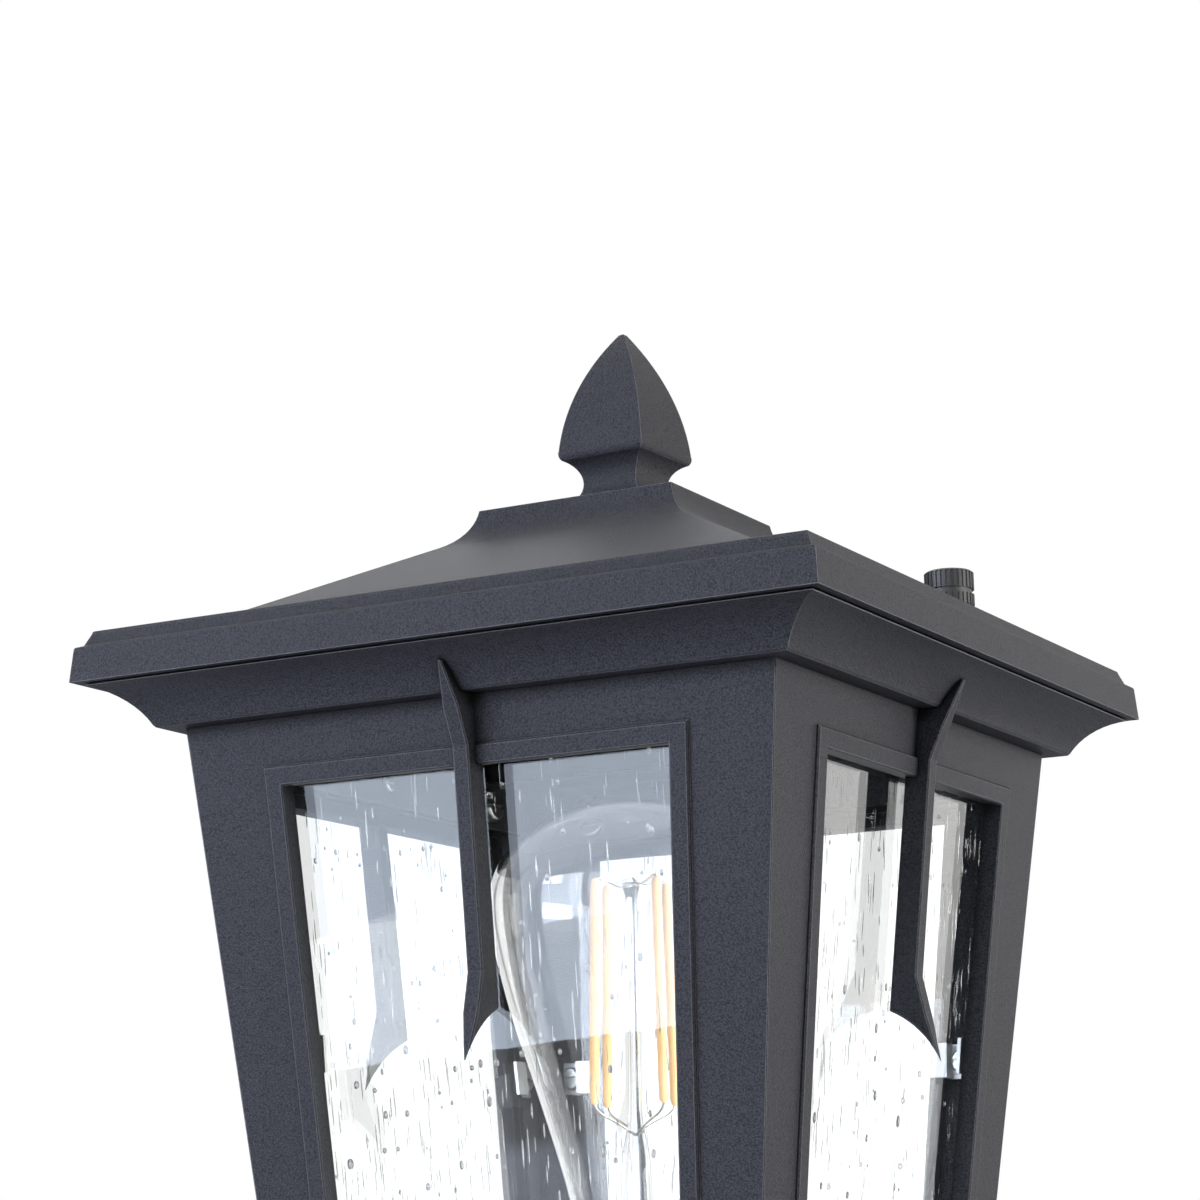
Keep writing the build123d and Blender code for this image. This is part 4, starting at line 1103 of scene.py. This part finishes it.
    def mount_stem(self) -> Piece:
        """Draw the glass mount: flare in the neck, pinch and rod up to the filaments' tops.

        Returns:
            The mount.
        """
        foot = self.tip + self.base_height * self.seat
        hub = self.widest + self.top_rise
        pinch = hub - self.stick_length - self.pinch_drop
        stretches = ((foot, self.flare_mm), (pinch, self.pinch_mm), (hub, self.hub_mm))
        outline = [(radius * MM, level + rise * MM) for level, points in stretches for radius, rise in points]
        return blown(turned("lamp_glass_mount", outline, self.mount_faces))

    def stick_ends(self) -> list[tuple[Vector, Vector]]:
        """Place the filament sticks.

        Returns:
            The top and the foot of each.
        """
        high = self.widest + self.top_rise
        ends = []
        for k in range(self.sticks):
            a = math.radians(self.turn_deg + 360 / self.sticks * k)
            way = Vector((math.cos(a), math.sin(a), 0))
            ends.append((way * self.top_ring + Vector((0, 0, high)),
                         way * self.foot_ring + Vector((0, 0, high - self.stick_length))))
        return ends

    def stick(self, top: Vector, foot: Vector) -> Piece:
        """Shape one filament stick, rounded at both ends.

        Args:
            top: its upper end.
            foot: its lower end.

        Returns:
            The stick.
        """
        half = (top - foot).length / 2
        r = self.stick_radius
        rise = [(r * wide, half - r * back) for wide, back in self.stick_end]
        upper = [(r, half * self.stick_waist), *reversed(rise), (0.0, half)]
        lower = [(wide, -level) for wide, level in reversed(upper)]
        piece = turned("stick", lower + upper, self.stick_faces)
        turn = (top - foot).normalized().to_track_quat("Z", "Y").to_matrix().to_4x4()
        piece.data.transform(Matrix.Translation((top + foot) / 2) @ turn)
        return piece

    def filaments(self) -> Piece:
        """Set the sticks round the mount.

        Returns:
            The sticks in one piece.
        """
        sticks = [self.stick(*ends) for ends in self.stick_ends()]
        return settle(joined(sticks, "filament_sticks"), self.round_deg)

    def wire(self, points: Sequence[Vector]) -> Piece:
        """Bend one support wire.

        Args:
            points: the wire's way.

        Returns:
            The wire as a mesh.
        """
        line = bpy.data.curves.new("wire", "CURVE")
        line.dimensions = "3D"
        line.bevel_depth = self.wire_radius
        line.bevel_resolution = 2
        line.use_fill_caps = True
        line.resolution_u = 6
        way = line.splines.new("NURBS")
        way.points.add(len(points) - 1)
        for point, co in zip(way.points, points):
            point.co = (*co, 1.0)
        way.order_u = 3
        way.use_endpoint_u = True
        piece = bpy.data.objects.new("wire", line)
        bpy.context.scene.collection.objects.link(piece)
        take(piece)
        bpy.ops.object.convert(target="MESH")
        return piece

    def wires(self) -> Piece:
        """Bend the wires from the mount to the sticks' ends.

        Returns:
            The wires in one piece.
        """
        hub = Vector((0, 0, self.widest + self.top_rise - self.wire_hub_drop))
        pinch = Vector((0, 0, hub.z - self.stick_length - self.wire_pinch_drop))
        bent = []
        for number, (top, foot) in enumerate(self.stick_ends()):
            sway = Vector((0, 0, self.wire_sways[number % 2]))
            grip = (top - foot).normalized() * self.wire_grip
            out = (top - hub) * self.wire_lean
            bends = [hub + out * far + sway * kink for far, kink in self.wire_top_bends]
            bent.append(self.wire([hub, *bends, top + sway * self.wire_kink, top - grip]))
            far, kink = self.wire_low_bend
            bent.append(self.wire([pinch, pinch + (foot - pinch) * self.wire_lean * far + sway * kink,
                                   foot - Vector((0, 0, self.wire_foot_drop)), foot + grip]))
        return settle(joined(bent, "lamp_support_wires"), self.round_deg)

    def screw_shell(self) -> Piece:
        """Roll the lamp's screw base, its thread a true helix.

        Returns:
            The screw base.
        """
        low = self.tip + self.thread_rise
        high = self.tip + self.base_height
        r, root, pitch = self.base_radius, self.base_radius - self.thread_depth, self.thread_pitch
        turns = int((high - low) / pitch) - 1
        outline = [(root, low)]
        for k in range(1, self.thread_steps + 1):
            swell = (1 - math.cos(2 * math.pi * k / self.thread_steps)) / 2
            outline.append((root + (r - root) * swell, low + pitch * k / self.thread_steps))
        shell = drawn("lamp_screw_base", outline)
        bpy.ops.object.mode_set(mode="OBJECT")
        with_modifier(shell, "SCREW", angle=2 * math.pi, screw_offset=pitch, iterations=turns - 1,
                      steps=self.base_faces, render_steps=self.base_faces, axis="Z",
                      use_merge_vertices=True, use_normal_calculate=True)
        top = low + pitch * turns
        plain = root - self.base_step
        back, down = self.collar_bend
        collar = turned("collar", [(plain, top - pitch), (plain, high - down), (root - back, high),
                                   (self.neck + self.collar_lap, high)], self.base_faces)
        back, up = self.skirt_bend
        skirt = turned("skirt", [(self.skirt_hole, low), (root - back, low), (plain, low + up),
                                 (plain, low + pitch * self.skirt_pitches)], self.base_faces)
        return settle(joined([shell, collar, skirt], "lamp_screw_base"), self.thread_deg)

    def build(self, book: FinishBook) -> None:
        """Make the lamp.

        Args:
            book: the finishes.
        """
        for make, slot, node in ((self.envelope, "clear_glass", "lamp_glass"),
                                 (self.mount_stem, "clear_glass", "lamp_stem"),
                                 (self.filaments, "phosphor", "lamp_filaments"),
                                 (self.wires, "nickel_brass", "lamp_wires"),
                                 (self.screw_shell, "nickel_brass", "lamp_base")):
            piece = make()
            dress(piece, book.materials[slot])
            mount(piece, "lamp", slot, node)


# ------------------------------------------------------------------ studio
@dataclass(frozen=True)
class Viewpoint:
    """Where the picture is taken from."""

    place: Place = (0.3318, -0.6126, 0.2153)
    yaw_deg: float = 28.971
    pitch_deg: float = 12.287
    roll_deg: float = -0.989
    focal_px: float = 3094.316
    frame_px: float = 1200.0
    film_mm: float = 36.0
    nearest: float = 0.01

    def set_up(self) -> None:
        """Put the camera in place and make it the scene's own."""
        yaw, pitch, roll = (math.radians(a) for a in (self.yaw_deg, self.pitch_deg, self.roll_deg))
        level = Vector((-math.sin(yaw), math.cos(yaw), 0))
        right = Vector((math.cos(yaw), math.sin(yaw), 0))
        ahead = level * math.cos(pitch) + Vector((0, 0, math.sin(pitch)))
        up = Vector((0, 0, math.cos(pitch))) - level * math.sin(pitch)
        across = right * math.cos(roll) + up * math.sin(roll)
        above = up * math.cos(roll) - right * math.sin(roll)
        camera = bpy.data.objects.new("camera", bpy.data.cameras.new("camera"))
        bpy.context.scene.collection.objects.link(camera)
        camera.matrix_world = (Matrix.Translation(self.place)
                               @ Matrix((across, above, -ahead)).transposed().to_4x4())
        camera.data.sensor_width = self.film_mm
        camera.data.lens = self.focal_px / self.frame_px * self.film_mm
        camera.data.clip_start = self.nearest
        bpy.context.scene.camera = camera


@dataclass(frozen=True)
class Softbox:
    """One soft lamp of the studio, facing the lantern."""

    name: str
    place: Place
    wide: float
    high: float
    glow: float
    colour: Colour = WHITE
    aim: Place = (0.0, 0.0, 0.3)

    def hang(self) -> None:
        """Hang the softbox."""
        lamp = bpy.data.lights.new(self.name, "AREA")
        lamp.shape = "RECTANGLE"
        lamp.size, lamp.size_y = self.wide, self.high
        lamp.energy = self.glow * math.pi * self.wide * self.high
        lamp.color = self.colour
        box = bpy.data.objects.new(self.name, lamp)
        bpy.context.scene.collection.objects.link(box)
        way = Vector(self.aim) - Vector(self.place)
        box.matrix_world = Matrix.Translation(self.place) @ way.to_track_quat("-Z", "Y").to_matrix().to_4x4()


@dataclass
class Studio:
    """White studio: pale floor, white surroundings and softboxes."""

    floor_size: float = 24.0
    floor_colour: Colour = (0.8, 0.8, 0.81)
    floor_rough: float = 0.85
    floor_lift: float = 0.5
    floor_fade: Pair = (0.4, 3.0)
    sky: float = 0.05
    softboxes: tuple[Softbox, ...] = (
        Softbox("front_left_softbox", (-0.78, -1.34, 0.56), 1.1, 1.0, 4.9, (0.72, 0.82, 1.0)),
        Softbox("left_high_softbox", (-1.2, -1.2, 1.1), 1.0, 0.8, 9.0, (0.78, 0.83, 1.0)),
        Softbox("front_softbox", (0.0, -1.8, 0.5), 1.5, 1.3, 2.4, (0.84, 0.88, 1.0), aim=(0.0, 0.0, 0.35)),
        Softbox("right_softbox", (1.9, 0.3, 0.2), 1.4, 0.7, 18.0, (1.0, 0.98, 0.95)),
        Softbox("back_right_softbox", (1.0, 1.6, 0.3), 1.0, 0.9, 1.1, (1.0, 0.99, 0.97)),
        Softbox("top_softbox", (-0.9, 0.9, 2.0), 1.6, 1.6, 1.2, aim=(0.0, 0.0, 0.25)),
    )

    def looks(self, nodes: Nodes, *rays: str) -> Socket:
        """Tell the rays that look at something from those that gather its light.

        Args:
            nodes: the wiring of the world or of a stage material.
            *rays: the Light Path outputs that look.

        Returns:
            The socket of a mask that is 1 for these rays.
        """
        path = nodes.add("ShaderNodeLightPath")
        first, *others = (path.outputs[ray] for ray in rays)
        for other in others:
            first = nodes.maths("MAXIMUM", first, other)
        return first

    def world(self) -> None:
        """White for whatever looks at the surroundings, and a plain level of light from them."""
        world = bpy.data.worlds.new("white_studio")
        world.use_nodes = True
        bpy.context.scene.world = world
        nodes = Nodes(world.node_tree)
        light = world.node_tree.nodes["Background"]
        seen = nodes.add("ShaderNodeBackground")
        for background, strength in ((light, self.sky), (seen, 1.0)):
            background.inputs["Color"].default_value = (*WHITE, 1.0)
            background.inputs["Strength"].default_value = strength
        looks = self.looks(nodes, "Is Camera Ray", "Is Glossy Ray", "Is Transmission Ray")
        nodes.join(nodes.either(looks, light.outputs["Background"], seen.outputs["Background"]),
                   world.node_tree.nodes["World Output"].inputs["Surface"])

    def floor(self) -> None:
        """Lay the pale floor, which fades into the white surroundings further off."""
        nothing_selected()
        bpy.ops.mesh.primitive_plane_add(size=self.floor_size, location=(0, 0, 0))
        floor = added("studio_floor")
        material = bpy.data.materials.new("studio_floor")
        material.use_nodes = True
        shader = material.node_tree.nodes["Principled BSDF"]
        shader.inputs["Base Color"].default_value = (*self.floor_colour, 1.0)
        shader.inputs["Roughness"].default_value = self.floor_rough
        nodes = Nodes(material.node_tree)
        pale = nodes.add("ShaderNodeEmission")
        pale.inputs["Color"].default_value = (*WHITE, 1.0)
        away = nodes.add("ShaderNodeVectorMath", operation="LENGTH")
        nodes.join(nodes.add("ShaderNodeTexCoord").outputs["Object"], away.inputs[0])
        fade = nodes.add("ShaderNodeMapRange")
        fade.inputs["From Min"].default_value, fade.inputs["From Max"].default_value = self.floor_fade
        fade.inputs["To Min"].default_value = self.floor_lift
        nodes.join(away.outputs["Value"], fade.inputs["Value"])
        looks = self.looks(nodes, "Is Camera Ray", "Is Transmission Ray")
        lift = nodes.maths("MULTIPLY", looks, fade.outputs["Result"])
        nodes.join(nodes.either(lift, shader.outputs["BSDF"], pale.outputs["Emission"]),
                   nodes.tree.nodes["Material Output"].inputs["Surface"])
        dress(floor, material)

    def set_up(self) -> None:
        """Build the whole studio."""
        self.world()
        self.floor()
        for softbox in self.softboxes:
            softbox.hang()
        bpy.context.scene.view_settings.view_transform = "Standard"


def main() -> None:
    """Build the lantern's looks on its frame."""
    logging.basicConfig(level=logging.INFO, format="%(message)s")
    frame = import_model()
    Viewpoint().set_up()
    Studio().set_up()
    book = FinishBook().fill()
    book.dress_nodes(frame)
    SeededWindows().build(frame, book)
    FilamentLamp().build(book)
    nothing_selected()


if __name__ == "__main__":
    main()
